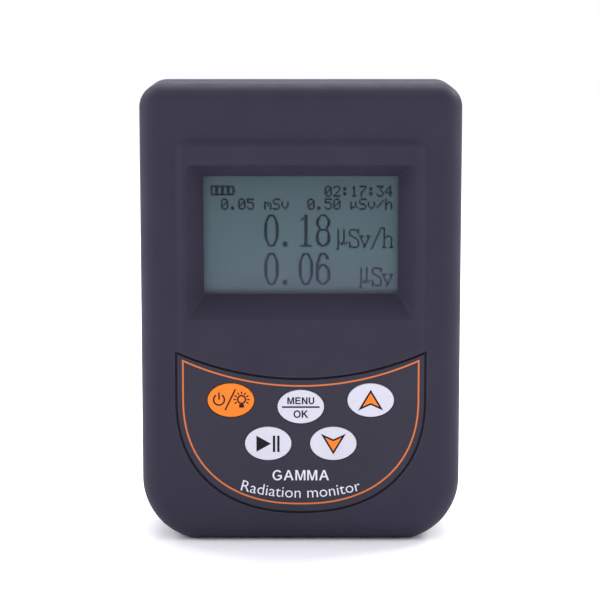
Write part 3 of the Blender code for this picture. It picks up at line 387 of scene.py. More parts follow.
def flat_areas(work):
    """For each face, the area of the flat region it belongs to."""
    areas = {}
    for seed in work.faces:
        if seed in areas:
            continue
        region, waiting = {seed}, [seed]
        while waiting:
            for edge in waiting.pop().edges:
                for face in edge.link_faces:
                    if face not in region and face not in areas and face.normal.dot(seed.normal) > 0.9999995:
                        region.add(face)
                        waiting.append(face)
        total = sum(face.calc_area() for face in region)
        areas.update(dict.fromkeys(region, total))
    return areas


def even_shading(obj, degrees=38):
    """Shades flat areas flat, narrow roundings smoothly between them, and leaves sharper edges sharp."""
    work = bmesh.new()
    work.from_mesh(obj.data)
    work.normal_update()
    areas = flat_areas(work)
    limit = math.cos(math.radians(degrees))
    normals = []
    for face in work.faces:
        for corner in face.loops:
            total = Vector()
            for other in corner.vert.link_faces:
                if other.normal.dot(face.normal) > limit:
                    total += other.normal * areas[other]
            normals.append(total.normalized() if total.length > 0 else face.normal.copy())
    work.free()
    obj.data.shade_smooth()
    obj.data.normals_split_custom_set(normals)
    return obj


def loft(name, rings, material=None, closed=False):
    """A solid through rings of points, all of one count. Its ends are capped, or joined if closed."""
    work = bmesh.new()
    made = [[work.verts.new(p) for p in ring] for ring in rings]
    pairs = list(zip(made, made[1:]))
    if closed:
        pairs.append((made[-1], made[0]))
    for first, second in pairs:
        for i in range(len(first)):
            j = (i + 1) % len(first)
            corners = [first[i], first[j], second[j], second[i]]
            work.faces.new(corners)
    if not closed:
        work.faces.new(made[0])
        work.faces.new(made[-1])
    return from_bmesh(name, work, material)


def lift(outline, depth):
    """An outline of (x, z) as a ring of points at this depth."""
    return [(x, at(depth), z) for x, z in outline]


def box(name, low, high, material=None):
    """A block between two corners given as (x, depth, z)."""
    return prism(name, bar(low[0], high[0], low[2], high[2]), low[1], high[1], material)


def prism(name, outline, near, far, material=None, plane="XZ"):
    """An outline extruded: points are (x, z) between two depths, or in plane YZ (depth, z) between two x."""
    if plane == "XZ":
        return loft(name, [lift(outline, depth) for depth in (near, far)], material)
    return loft(name, [[(x, at(depth), z) for depth, z in outline] for x in (near, far)], material)


def rod(name, radius, centre, near, far, sides=40, material=None, axis="Y"):
    """A cylinder along Y at (x, z) between two depths, or along X at (depth, z) between two x."""
    ring = ellipse(2 * radius, 2 * radius, centre, sides)
    return prism(name, ring, near, far, material, "XZ" if axis == "Y" else "YZ")


def rods(name, radius, point, near, far, sides=40):
    """A rod along Y at this (x, z), and another at its mirror image."""
    return [rod(name, radius, spot, near, far, sides) for spot in both_sides(point)]


def plate(name, outlines, near, far, material=None):
    """A flat solid between two depths: the outlines are rims, and each one inside another is a hole."""
    curve = bpy.data.curves.new(name, "CURVE")
    curve.dimensions = "2D"
    curve.fill_mode = "BOTH"
    curve.extrude = (far - near) / 2
    for points in outlines:
        spline = curve.splines.new("POLY")
        spline.points.add(len(points) - 1)
        for point, (x, z) in zip(spline.points, points):
            point.co = (x, z, 0, 1)
        spline.use_cyclic_u = True
    obj = link(bpy.data.objects.new(name, curve))
    obj.location = (0, at((near + far) / 2), 0)
    obj.rotation_euler = (math.pi / 2, 0, 0)
    mesh = evaluated_mesh(obj)
    bpy.data.objects.remove(obj)
    work = bmesh.new()
    work.from_mesh(mesh)
    bmesh.ops.remove_doubles(work, verts=work.verts, dist=1e-7)
    bmesh.ops.dissolve_limit(work, angle_limit=1e-3, verts=work.verts, edges=work.edges)
    return from_bmesh(name, work, material)


def turned(name, profile, centre, material, axis="Y", steps=48, squeeze=1.0):
    """A solid turned round an axis, from a profile of (radius, distance along the axis from centre).

    A profile that starts off the axis makes a closed ring.
    """
    x, depth, z = centre
    work = bmesh.new()
    rings = []
    for radius, along in profile:
        ring = []
        for i in range(steps if radius else 1):
            angle = 2 * math.pi * i / steps
            across, up = radius * math.cos(angle), radius * math.sin(angle) * squeeze
            over, back = (across, along) if axis == "Y" else (along, across)
            ring.append(work.verts.new((x + over, at(depth + back), z + up)))
        rings.append(ring)
    pairs = list(zip(rings, rings[1:]))
    if profile[0][0]:
        pairs.append((rings[-1], rings[0]))
    for first, second in pairs:
        for i in range(steps):
            ends = ((first, i), (first, i + 1), (second, i + 1), (second, i))
            corners = list(dict.fromkeys(ring[k % len(ring)] for ring, k in ends))
            if len(corners) > 2:
                work.faces.new(corners)
    return from_bmesh(name, work, material)


def tube(name, points, radius, material, sides=10):
    """A round wire through points given as (x, depth, z), with rounded-off ends."""
    path = [Vector((x, at(depth), z)) for x, depth, z in points]
    rings = []
    side = None
    for i, point in enumerate(path):
        along = (path[min(i + 1, len(path) - 1)] - path[max(i - 1, 0)]).normalized()
        if side is None:
            side = along.orthogonal().normalized()
        side = (side - along * side.dot(along)).normalized()
        other = along.cross(side)
        circle = [2 * math.pi * k / sides for k in range(sides)]
        rings.append([point + radius * (side * math.cos(a) + other * math.sin(a)) for a in circle])
    ends = ((0, path[0] - path[1]), (-1, path[-1] - path[-2]))
    for index, outward in ends:
        push = outward.normalized() * radius * 0.6
        cap = [path[index] + (p - path[index]) * 0.6 + push for p in rings[index]]
        rings.insert(0 if index == 0 else len(rings), cap)
    return loft(name, rings, material)


def piece(obj, body, slot_name, *nodes):
    """Makes obj ride on a body, instead of the CAD nodes named. slot_name is not used."""
    even_shading(obj)
    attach(obj, body)
    if nodes:
        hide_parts(*nodes)
    return obj


# ---- outlines
def arc(centre, radii, start, end, steps=24):
    """Points on an arc, from one angle to another in degrees. Two radii make it elliptical."""
    across, up = radii if isinstance(radii, tuple) else (radii, radii)
    angles = [math.radians(start + (end - start) * i / steps) for i in range(steps + 1)]
    return [(centre[0] + across * math.cos(a), centre[1] + up * math.sin(a)) for a in angles]


def ellipse(width, height, centre, steps=64):
    return arc(centre, (width / 2, height / 2), 0, 360, steps)[:-1]


def mirrored(right):
    """An outline from its right half, which runs from the bottom up to the top."""
    return right + [(-x, z) for x, z in reversed(right) if x > 1e-9]


def case_outline(inset=0.0):
    """The case seen from the front: tight arcs on top, wide arcs below that end on the standing flat."""
    low = BOTTOM_RADIUS - BOTTOM_FLAT_CUT
    radius = BOTTOM_RADIUS - inset
    first = -math.degrees(math.asin((low - inset) / radius))
    bottom = arc((CASE_WIDTH / 2 - BOTTOM_RADIUS, low), radius, first, 0, CORNER_STEPS)
    top_centre = (CASE_WIDTH / 2 - TOP_RADIUS, CASE_HEIGHT - TOP_RADIUS)
    return mirrored(bottom + arc(top_centre, TOP_RADIUS - inset, 0, 90, CORNER_STEPS))


def keypad_outline(shape, arc_steps=40, end_steps=60):
    """A keypad outline: a sagging arc above, straight sides, and a superellipse below."""
    half, radius, power = shape["half"], shape["radius"], 2 / KEYPAD_POWER
    fall = shape["sides"] - shape["bottom"]
    angles = [math.pi / 2 * i / end_steps for i in range(end_steps + 1)]
    lower = [(half * math.sin(a) ** power, shape["sides"] - fall * math.cos(a) ** power) for a in angles]
    across = [half * (1 - i / arc_steps) for i in range(arc_steps + 1)]
    upper = [(x, shape["middle"] + radius - math.sqrt(radius**2 - x**2)) for x in across]
    return mirrored(lower[1:] + upper) + [lower[0]]


def offset(points, distance):
    """A closed outline moved outwards by distance, with mitred corners. The points run anticlockwise."""
    moved = []
    count = len(points)
    for i in range(count):
        before, here, after = (Vector(points[(i + k) % count]) for k in (-1, 0, 1))
        first, second = (here - before).normalized(), (after - here).normalized()
        normals = (Vector((first.y, -first.x)), Vector((second.y, -second.x)))
        middle = (normals[0] + normals[1]).normalized()
        moved.append(tuple(here + middle * distance / max(0.3, middle.dot(normals[0]))))
    return moved


def rounded_rectangle(half_width, bottom, top, radius, steps=8):
    right = arc((half_width - radius, bottom + radius), radius, -90, 0, steps)
    right += arc((half_width - radius, top - radius), radius, 0, 90, steps)
    return mirrored(right)


def both_sides(point):
    """A point and its mirror image."""
    return ((point[0], point[1]), (-point[0], point[1]))


def both_spans(near, far):
    """The mirror image of a stretch along X, then the stretch itself, each from low to high."""
    return ((-far, -near), (near, far))


def quarter(steps):
    """Points round a fillet of radius 1, as their distances from the two faces that it joins."""
    angles = [math.pi / 2 * i / steps for i in range(steps + 1)]
    return [(1 - math.cos(angle), 1 - math.sin(angle)) for angle in angles]


# ---- case
def case_ring(inset, depth):
    return lift(case_outline(inset), depth)


def fillet_rings(inset, depth, radius, step, count):
    """Rings round a fillet, from the side wall at this inset to the flat face at this depth."""
    return [case_ring(inset + radius * a, depth + step * radius * b) for a, b in quarter(count)]


def flared(name, outline, face, depth, round_radius=0.00014, beyond=0.0015):
    """A cutter whose mouth rounds the rim it cuts in a face. The outline runs anticlockwise."""
    step = 1 if depth > face else -1
    rings = [lift(outline, depth)]
    for a, b in quarter(4):
        rings.append(lift(offset(outline, round_radius * a), face + step * round_radius * b))
    rings.append(lift(offset(outline, round_radius), face - step * beyond))
    return loft(name, rings)


def panel_height(z):
    """How far the raised panel's plane stands out of the case at this height."""
    full = PANEL_TOP - PANEL_EDGE
    share = min(1.0, max(0.0, (z - PANEL_BOTTOM) / (full - PANEL_BOTTOM)))
    return PANEL_RAISE * (PANEL_LOW_SHARE + (1 - PANEL_LOW_SHARE) * share)


def panel_rings(count=14):
    """The panel round the display. It stands out at its top and fades into the face above the keypad."""
    rings = []
    for i in range(count + 1):
        t = i / count
        inset, share = PANEL_EDGE * t, (1 - math.cos(math.pi * t)) / 2
        outline = rounded_rectangle(
            PANEL_HALF_WIDTH - inset,
            PANEL_BOTTOM + inset,
            PANEL_TOP - inset,
            PANEL_CORNER - inset * 0.6,
            CORNER_STEPS,
        )
        rings.append([(x, at(-panel_height(z) * share), z) for x, z in outline])
    return rings


def slope_outline(rise, corner, side=0.0, top=0.0, bottom=0.0):
    """The display's sloped frame, this far in front of the window, and grown on its sides, top and bottom."""
    low, high = VIEW_BOTTOM - SLOPE_BOTTOM * rise - bottom, VIEW_TOP + SLOPE_TOP * rise + top
    return rounded_rectangle(VIEW_HALF_WIDTH + SLOPE_SIDE * rise + side, low, high, corner, CORNER_STEPS)


def rim_point(run, share, rim):
    """How far out and how deep a point is on the rim, where a slope of this run leaves the panel."""
    turn = math.atan(1 / run)
    return rim * (math.tan(turn / 2) - math.sin(turn * share)), rim * (1 - math.cos(turn * share))


def display_slope_rings(rim=0.0007, count=7):
    """The four slopes that lead down to the display, with a rounded rim where they leave the panel."""
    mouth = VIEW_DEPTH + PANEL_RAISE
    rings = []
    for number in range(count + 1):
        points = [rim_point(run, number / count, rim) for run in (SLOPE_SIDE, SLOPE_TOP, SLOPE_BOTTOM)]
        (side, side_drop), (top, top_drop), (bottom, bottom_drop) = points
        outline = slope_outline(mouth, 0.0014 - 0.00005 * number, side, top, bottom)
        ring = []
        for i, (x, z) in enumerate(outline):
            within = min(i, len(outline) - 1 - i)
            if within <= CORNER_STEPS:
                first, last = bottom_drop, side_drop
            else:
                first, last, within = side_drop, top_drop, within - CORNER_STEPS - 1
            drop = first + (last - first) * within / CORNER_STEPS
            surface_z = min(max(z, VIEW_BOTTOM - SLOPE_BOTTOM * mouth), PANEL_TOP)
            ring.append((x, at(drop - panel_height(surface_z)), z))
        rings.append(ring)
    for depth in (0.35 * VIEW_DEPTH, 0.7 * VIEW_DEPTH, VIEW_DEPTH):
        rise = VIEW_DEPTH - depth
        rings.append(lift(slope_outline(rise, 0.0003 + 0.22 * rise), depth))
    return rings


def front_shell():
    """One skin, lofted from the parting plane over the face, down to the display and back inside."""
    lip = 0.00015
    rings = [case_ring(WALL, PARTING_DEPTH), case_ring(lip, PARTING_DEPTH), case_ring(0, PARTING_DEPTH - lip)]
    rings += fillet_rings(0, 0, EDGE_RADIUS, 1, 14)
    rings += panel_rings()
    rings += display_slope_rings()
    wall = 0.0032
    low, high = VIEW_BOTTOM - wall, VIEW_TOP + wall
    outline = rounded_rectangle(VIEW_HALF_WIDTH + wall, low, high, 0.0005, CORNER_STEPS)
    rings += [lift(outline, depth) for depth in (VIEW_DEPTH, WALL)]
    rings += fillet_rings(WALL, WALL, EDGE_RADIUS - WALL, 1, 6)[::-1]
    shell = loft("front_case", rings, CASE, closed=True)
    joined = []
    for corner, end in BOSSES:
        joined += rods("front_boss", 0.0026, corner, WALL / 2, end)
    joined += rods("board_post", 0.0022, BOARD_POST, WALL / 2, 0.0099)
    join(shell, *joined)
    cutters = [flared("keypad_pocket", keypad_outline(KEYPAD), 0, POCKET_DEPTH)]
    for spot in KEYS.values():
        hole = ellipse(KEY_WIDTH + 0.0006, KEY_HEIGHT + 0.0006, spot)
        cutters.append(prism("key_hole", hole, POCKET_DEPTH - 0.0005, WALL + 0.0005))
    for corner, end in BOSSES:
        cutters += rods("pilot", 0.0013, corner, 0.0040, end + 0.001, 24)
    cutters += rods("post_hole", 0.0010, BOARD_POST, 0.0040, 0.0110, 24)
    cut(shell, *cutters)
    piece(shell, "case", "shell", "front_shell")


def rear_shell():
    """One cup-shaped skin with the lip that enters the front shell, then the bay and the bosses."""
    inner_radius, lip = EDGE_RADIUS - WALL, 0.00015
    lip_in, lip_out, lip_front = WALL + GAP + 0.0010, WALL + GAP, PARTING_DEPTH - 0.0018
    parting = PARTING_DEPTH + GAP
    rings = fillet_rings(WALL, CASE_DEPTH - WALL, inner_radius, -1, 6)[::-1]
    rings += [case_ring(WALL, 0.0170), case_ring(lip_in, 0.0170), case_ring(lip_in, lip_front)]
    rings += [case_ring(lip_out, lip_front), case_ring(lip_out, parting)]
    rings += [case_ring(lip, parting), case_ring(0, parting + lip)]
    rings += fillet_rings(0, CASE_DEPTH, EDGE_RADIUS, -1, 14)
    shell = loft("rear_case", rings, CASE)
    joined = [
        box(
            "bay_block",
            (-BAY_HALF_WIDTH - BAY_WALL, BAY_FLOOR_FRONT, BAY_BOTTOM - BAY_WALL + 0.0002),
            (BAY_HALF_WIDTH + BAY_WALL, CASE_DEPTH - WALL / 2, BAY_TOP + BAY_WALL),
        ),
    ]
    for corner, end in BOSSES:
        joined += rods("rear_boss", 0.0032, corner, end + GAP, 0.0270)
    join(shell, *joined)
    door_hole = rounded_rectangle(DOOR_HALF_WIDTH + GAP, DOOR_BOTTOM - GAP, DOOR_TOP + GAP, 0.0009)
    cutters = [
        box("bay", (-BAY_HALF_WIDTH, BAY_FLOOR_BACK, BAY_BOTTOM), (BAY_HALF_WIDTH, OUTSIDE, BAY_TOP)),
        flared("door_pocket", door_hole, CASE_DEPTH, DOOR_FRONT - GAP),
        flared("thumb_scoop", ellipse(0.0116, 0.0060, (0, DOOR_TOP + 0.0004)), CASE_DEPTH, 0.0272, 0.0003),
    ]
    for low, high in both_spans(TAB_X - TAB_HALF_WIDTH - GAP, TAB_X + TAB_HALF_WIDTH + GAP):
        far_corner = (high, DOOR_FRONT - 0.0001, BAY_BOTTOM + 0.001)
        cutters.append(box("tab_slot", (low, 0.0240, 0.0084), far_corner))
    for x, z in ((-CONTACT_X, 0.0240), *((CONTACT_X, height) for height in CELL_HEIGHTS.values())):
        cutters.append(box("tail_slot", (x - 0.0006, 0.0120, z - 0.0015), (x + 0.0006, 0.0145, z + 0.0015)))
    for corner, _ in BOSSES:
        for spot in both_sides(corner):
            cutters.append(rod("screw_hole", 0.0013, spot, 0.0100, 0.0250, 24))
            cutters.append(flared("counterbore", ellipse(0.0045, 0.0045, spot, 40), CASE_DEPTH, 0.0200))
    cutters += rods("bracket_hole", 0.0013, BRACKET_SCREW, 0.0240, 0.0300, 24)
    for number in range(7):
        angle, reach = math.radians(60 * number), (0.0028 if number < 6 else 0.0)
        spot = (BUZZER_X + reach * math.cos(angle), BUZZER_HEIGHT + reach * math.sin(angle))
        cutters.append(flared("sound_hole", ellipse(0.0014, 0.0014, spot, 28), CASE_DEPTH, 0.0250, 0.0001))
    cut(shell, *cutters)
    piece(shell, "case", "shell", "rear_shell")


# ---- keypad
def keypad():
    holes = [ellipse(KEY_WIDTH + 0.0003, KEY_HEIGHT + 0.0003, spot, 72) for spot in KEYS.values()]
    overlay = plate("overlay", [keypad_outline(OVERLAY), *holes], OVERLAY_FRONT, OVERLAY_BACK, FILM)
    piece(soften(overlay, 0.00010), "case", "keypad_film", "keypad_overlay")
    middle = keypad_outline(BORDER)
    border = plate("border_line", [offset(middle, 0.00018), offset(middle, -0.00018)], 0.00003, 0.0002, LINE)
    piece(border, "case", "key_orange")


def key(name, spot, body):
    """A key cap with a rounded rim, and the flange and post behind it."""
    half_width, squeeze = KEY_WIDTH / 2, KEY_HEIGHT / KEY_WIDTH
    rim = 0.00028
    profile = [(0, KEY_FRONT), (0.4 * half_width, KEY_FRONT)]
    profile += [(half_width - rim * b, KEY_FRONT + rim * a) for a, b in quarter(6)]
    flange = half_width + 0.00105
    profile += [(half_width, 0.0023), (flange, 0.0023), (flange, 0.0031), (0.0017, 0.0031), (0.0017, 0.0047)]
    profile.append((0, 0.0047))
    color, slot_name = (ORANGE, "key_orange") if name == "power" else (WHITE, "key_white")
    cap = turned(f"cap_{name}", profile, (spot[0], 0, spot[1]), color, steps=72, squeeze=squeeze)
    piece(cap, body, slot_name, f"key_{name}")


def bar(x0, x1, z0, z1):
    return [(x0, z0), (x1, z0), (x1, z1), (x0, z1)]


def stroke(start, end, width):
    """A straight line of this width as an outline."""
    first, last = Vector(start), Vector(end)
    across = (last - first).normalized()
    across = Vector((-across.y, across.x)) * width / 2
    return [tuple(p) for p in (first + across, first - across, last - across, last + across)]


def sign(name, outlines, spot, body, material=INK):
    """A printed sign on a key: outlines are in millimetres from the key's middle."""
    moved = [[(spot[0] + x / 1000, spot[1] + z / 1000) for x, z in points] for points in outlines]
    made = plate(name, moved, KEY_FRONT + PRINT_FRONT, KEY_FRONT + PRINT_BACK, material)
    return piece(made, body, "black_plastic" if material is INK else "key_orange")


def power_signs(spot, body):
    centre, radius, half = (-2.66, 0.12), 1.22, 0.175
    ring = arc(centre, radius + half, 122, 418, 36) + arc(centre, radius - half, 418, 122, 36)
    outlines = [ring, bar(centre[0] - 0.17, centre[0] + 0.17, centre[1] + 0.02, centre[1] + 1.66)]
    outlines.append(stroke((-1.30, -2.26), (1.04, 2.54), 0.34))
    bulb = (2.42, 0.18)
    outlines += [ellipse(2.10, 2.10, bulb, 32), ellipse(1.42, 1.42, bulb, 32)]
    outlines.append(bar(bulb[0] - 0.56, bulb[0] + 0.56, bulb[1] - 1.86, bulb[1] - 1.07))
    for degrees in (-30, 0, 30, 60, 90, 120, 150, 180, 210):
        turn = math.radians(degrees)
        along = Vector((math.cos(turn), math.sin(turn)))
        inner, outer = Vector(bulb) + along * 1.24, Vector(bulb) + along * 1.80
        outlines.append(stroke(inner, outer, 0.30))
    sign("sign_power", outlines, spot, body)


def arrow_signs(name, spot, body, up):
    """A notched arrowhead: a dark outline round an orange middle."""
    points = [(0, 2.42), (-2.84, -2.36), (0, -1.06), (2.84, -2.36)]
    outer = [(x, z if up else -z - 0.08) for x, z in points]
    if not up:
        outer = outer[::-1]
    inner = offset(outer, -0.40)
    sign(f"sign_{name}", [outer, inner], spot, body)
    sign(f"sign_{name}_middle", [inner], spot, body, ORANGE)


def lettering(name, text, place, cap_height, width, material, front, back, bend=None):
    """Raised print, placed by its baseline's middle. With bend, the baseline is an arc that sags."""
    curve = bpy.data.curves.new(name, "FONT")
    curve.body = text
    curve.extrude = 0.5
    curve.offset = -0.006
    curve.resolution_u = 4
    obj = link(bpy.data.objects.new(name, curve))
    mesh = evaluated_mesh(obj)
    bpy.data.objects.remove(obj)
    across = [v.co.x for v in mesh.vertices]
    tall = max(v.co.y for v in mesh.vertices)
    middle, scale = (min(across) + max(across)) / 2, width / (max(across) - min(across))
    for vertex in mesh.vertices:
        x, up = (vertex.co.x - middle) * scale, vertex.co.y * cap_height / tall
        depth = front if vertex.co.z > 0 else back
        if bend:
            angle = x / bend
            x, up = (bend - up) * math.sin(angle), bend - (bend - up) * math.cos(angle)
        vertex.co = (place[0] + x, at(depth), place[1] + up)
    work = bmesh.new()
    work.from_mesh(mesh)
    return from_bmesh(name, work, material)


# Plain capitals in units of their height: the width, then the outlines.
CAPITALS = {
    "A": [
        0.96,
        [(0, 0), (0.18, 0), (0.285, 0.29), (0.675, 0.29), (0.78, 0), (0.96, 0), (0.575, 1), (0.385, 1)],
        [(0.48, 0.84), (0.625, 0.43), (0.335, 0.43)],
    ],
    "E": [
        0.76,
        [(0, 0), (0.76, 0), (0.76, 0.14), (0.17, 0.14), (0.17, 0.44), (0.70, 0.44)]
        + [(0.70, 0.58), (0.17, 0.58), (0.17, 0.86), (0.74, 0.86), (0.74, 1), (0, 1)],
    ],
    "G": [
        0.90,
        arc((0.47, 0.5), (0.47, 0.515), 38, 318)
        + [(0.90, 0.17), (0.90, 0.52), (0.50, 0.52), (0.50, 0.38), (0.74, 0.38), (0.74, 0.24)]
        + arc((0.47, 0.5), (0.31, 0.375), 320, 38),
    ],
    "K": [
        0.85,
        [(0, 0), (0.17, 0), (0.17, 0.34), (0.30, 0.47), (0.64, 0), (0.85, 0)]
        + [(0.42, 0.59), (0.82, 1), (0.60, 1), (0.17, 0.54), (0.17, 1), (0, 1)],
    ],
    "M": [
        0.97,
        [(0, 0), (0.165, 0), (0.165, 0.80), (0.41, 0), (0.56, 0), (0.805, 0.80), (0.805, 0), (0.97, 0)]
        + [(0.97, 1), (0.74, 1), (0.485, 0.22), (0.23, 1), (0, 1)],
    ],
    "N": [
        0.80,
        [(0, 0), (0.165, 0), (0.165, 0.73), (0.62, 0), (0.80, 0)]
        + [(0.80, 1), (0.635, 1), (0.635, 0.27), (0.18, 1), (0, 1)],
    ],
    "O": [0.97, arc((0.485, 0.5), (0.485, 0.52), 0, 345, 23), arc((0.485, 0.5), (0.32, 0.375), 345, 0, 23)],
    "U": [
        0.79,
        [(0, 1), *arc((0.395, 0.37), (0.395, 0.39), 180, 360), (0.79, 1), (0.62, 1)]
        + [*arc((0.395, 0.37), (0.225, 0.245), 360, 180), (0.17, 1)],
    ],
}


def capitals(word, place, height, spacing, bolder=0.0):
    """The outlines of a word in plain capitals, centred on place, which is on its baseline."""
    length = sum(CAPITALS[letter][0] for letter in word) + spacing * (len(word) - 1)
    outlines, start = [], -length / 2
    for letter in word:
        width, *shapes = CAPITALS[letter]
        for shape in shapes:
            drawn = [(place[0] + (start + x) * height, place[1] + z * height) for x, z in shape]
            outlines.append(offset(drawn, bolder))
        start += width + spacing
    return outlines


def signs():
    power_signs(KEYS["power"], "power_key")
    menu = capitals("MENU", (0, 0.62), 1.52, 0.21, 0.03) + capitals("OK", (0, -2.50), 1.64, 0.15, 0.03)
    menu.append(bar(-4.23, 4.23, -0.25, 0.12))
    sign("sign_menu", menu, KEYS["menu"], "menu_key")
    arrow_signs("up", KEYS["up"], "up_key", True)
    arrow_signs("down", KEYS["down"], "down_key", False)
    play = [[(-2.66, -1.86), (0.64, -0.02), (-2.66, 1.82)]]
    pause = [bar(left, left + 0.54, -1.92, 1.84) for left in (1.04, 2.02)]
    sign("sign_play", play + pause, KEYS["play"], "play_key")


def printed_words():
    """Generic words where the instrument has its printed lines."""
    front, back = OVERLAY_FRONT + PRINT_FRONT, OVERLAY_FRONT + PRINT_BACK
    first = plate("print_gamma", capitals("GAMMA", (0.0, 0.0142), 0.00235, 0.17), front, back, PRINT)
    second = lettering(
        "print_name", "Radiation monitor", (0.0, 0.01015), 0.00245, 0.0276, PRINT, front, back, bend=0.054
    )
    for made in (first, second):
        piece(made, "case", "key_white")


# ---- display
SMALL = {
    "0": ".###. #...# #..## #.#.# ##..# #...# .###.",
    "1": "..#.. .##.. ..#.. ..#.. ..#.. ..#.. .###.",
    "2": ".###. #...# ....# ...#. ..#.. .#... #####",
    "3": "##### ...#. ..#.. ...#. ....# #...# .###.",
    "4": "...#. ..##. .#.#. #..#. ##### ...#. ...#.",
    "5": "##### #.... ####. ....# ....# #...# .###.",
    "7": "##### ....# ...#. ..#.. .#... .#... .#...",
    ":": ".##.. .##.. ..... .##.. .##.. .....",
    ".": ".##.. .##..",
    "m": "##.#. #.#.# #.#.# #...# #...#",
    "S": ".#### #.... #.... .###. ....# ....# ####.",
    "v": "#...# #...# #...# .#.#. ..#..",
    "u": "#..#. #..#. #..#. ###.# #....",
    "/": "....# ...#. ..#.. .#... #.... .....",
    "h": "#.... #.... #.##. ##..# #...# #...# #...#",
}
MEDIUM = {
    "u": ".#...#.. .#...#.. .#...#.. .#...#.. .#...#.. .#...#.. .#...#.. .#...#.. "
    ".##.##.# .#.##.#. .#...... .#...... ##......",
    "S": "..####.# .#....## .#.....# .#...... ..##.... ....##.. ......#. .......# "
    ".#.....# .#.....# .##....# .#.####. ........",
    "v": "###..### .#....#. .#....#. ..#..#.. ..#..#.. ...##... ...##... ...#.... ........",
    "/": ".......# ......#. ......#. .....#.. .....#.. ....#... ....#... ...#.... ...#.... "
    "..#..... ..#..... .#...... .#...... #.......",
    "h": "##...... .#...... .#...... .#...... .#...... .#.###.. .##...#. .#....#. .#....#. "
    ".#....#. .#....#. .#....#. ###..### ........",
}
# The display's raster is 128 dots wide and 64 high.
DOT_LEFT, DOT_TOP = -0.02058, 0.08068
DOT_PITCH_X, DOT_PITCH_Z = 0.0003235, 0.0003627


def type_text(lit, glyphs, text, column, row, pitch):
    """Adds the dots of a text. A glyph leaves out its empty upper rows, so it stands on the lowest one."""
    height = max(len(rows.split()) for rows in glyphs.values())
    for letter in text:
        rows = glyphs.get(letter, "").split()
        for down, line in enumerate(rows, height - len(rows)):
            lit.update((column + i, row + down) for i, mark in enumerate(line) if mark == "#")
        column += pitch


def ring_dots(centre, outer, inner, keep=lambda x, y: True):
    """The dots between two ellipses, given as (half width, half height) about a centre."""
    found = set()
    for column in range(-8, 20):
        for row in range(-4, 28):
            x, y = column + 0.5 - centre[0], row + 0.5 - centre[1]
            outside = (x / inner[0]) ** 2 + (y / inner[1]) ** 2 > 1
            if (x / outer[0]) ** 2 + (y / outer[1]) ** 2 <= 1 and outside and keep(column, row):
                found.add((column, row))
    return found


LARGE = {
    "0": ring_dots((7, 12), (5.2, 10.1), (3.3, 9.0)),
    "1": {(c, r) for c in (6, 7) for r in range(3, 21)}
    | {(c, 21) for c in range(3, 11)}
    | {(3, 5), (4, 4), (5, 4), (6, 2), (7, 2)},
    "8": ring_dots((7, 7), (4.7, 5.2), (3.0, 4.1)) | ring_dots((7, 16.4), (5.2, 5.7), (3.3, 4.6)),
    "6": ring_dots((7, 15.4), (5.2, 6.6), (3.3, 5.5))
    | ring_dots((7.4, 12), (5.4, 10.1), (3.5, 9.0), lambda c, r: r < 15 and c < 7)
    | ring_dots((7, 12), (5.0, 10.1), (3.3, 9.0), lambda c, r: r < 5)
    | {(9, 4), (10, 4), (9, 5), (10, 5)},
    ".": {(c, r) for c in (3, 4, 5) for r in (19, 20, 21)},
}


def large_text(lit, text, column, row):
    for letter in text:
        lit.update((column + c, row + r) for c, r in LARGE[letter])
        column += 12


def battery_sign(lit):
    lit.update((c, r) for c in range(1, 17) for r in (0, 5))
    lit.update((c, r) for c in (1, 4, 5, 8, 9, 12, 13, 16) for r in range(6))
    lit.update((17, r) for r in (2, 3))


def display_dots():
    """The lit dots as one mesh of small square pads in front of the glass."""
    lit = set()
    battery_sign(lit)
    type_text(lit, SMALL, "02:17:34", 80, 0, 6)
    type_text(lit, SMALL, "0.05 mSv", 8, 8, 6)
    type_text(lit, SMALL, "0.50 uSv/h", 68, 8, 6)
    large_text(lit, "0.18", 36, 16)
    type_text(lit, MEDIUM, "uSv/h", 88, 26, 8)
    large_text(lit, "0.06", 36, 40)
    type_text(lit, MEDIUM, "uSv", 104, 50, 8)
    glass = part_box("lcd_glass")[0].y
    shift = 0.00011
    dot_pads("display_dots", lit, glass - 0.00007, glass - 0.00003, 0.94, 0, DOTS)
    dot_pads("display_dot_shadows", lit, glass - 0.00002, glass + 0.00002, 1.0, shift, DOT_SHADOWS)


def dot_pads(name, lit, near, far, share, shift, material):
    """A thin pad for each lit dot, between two Y planes: this share of the pitch, shifted right and down."""
    work = bmesh.new()
    size = Matrix.Diagonal((DOT_PITCH_X * share - 0.000001, far - near, DOT_PITCH_Z * share - 0.000001, 1))
    for column, row in sorted(lit):
        x = DOT_LEFT + (column + 0.5) * DOT_PITCH_X + shift
        z = DOT_TOP - (row + 0.5) * DOT_PITCH_Z - shift
        bmesh.ops.create_cube(work, size=1.0, matrix=Matrix.Translation((x, (near + far) / 2, z)) @ size)
    mesh = bpy.data.meshes.new(name)
    work.to_mesh(mesh)
    work.free()
    obj = link(bpy.data.objects.new(name, mesh), material)
    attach(obj, "case")


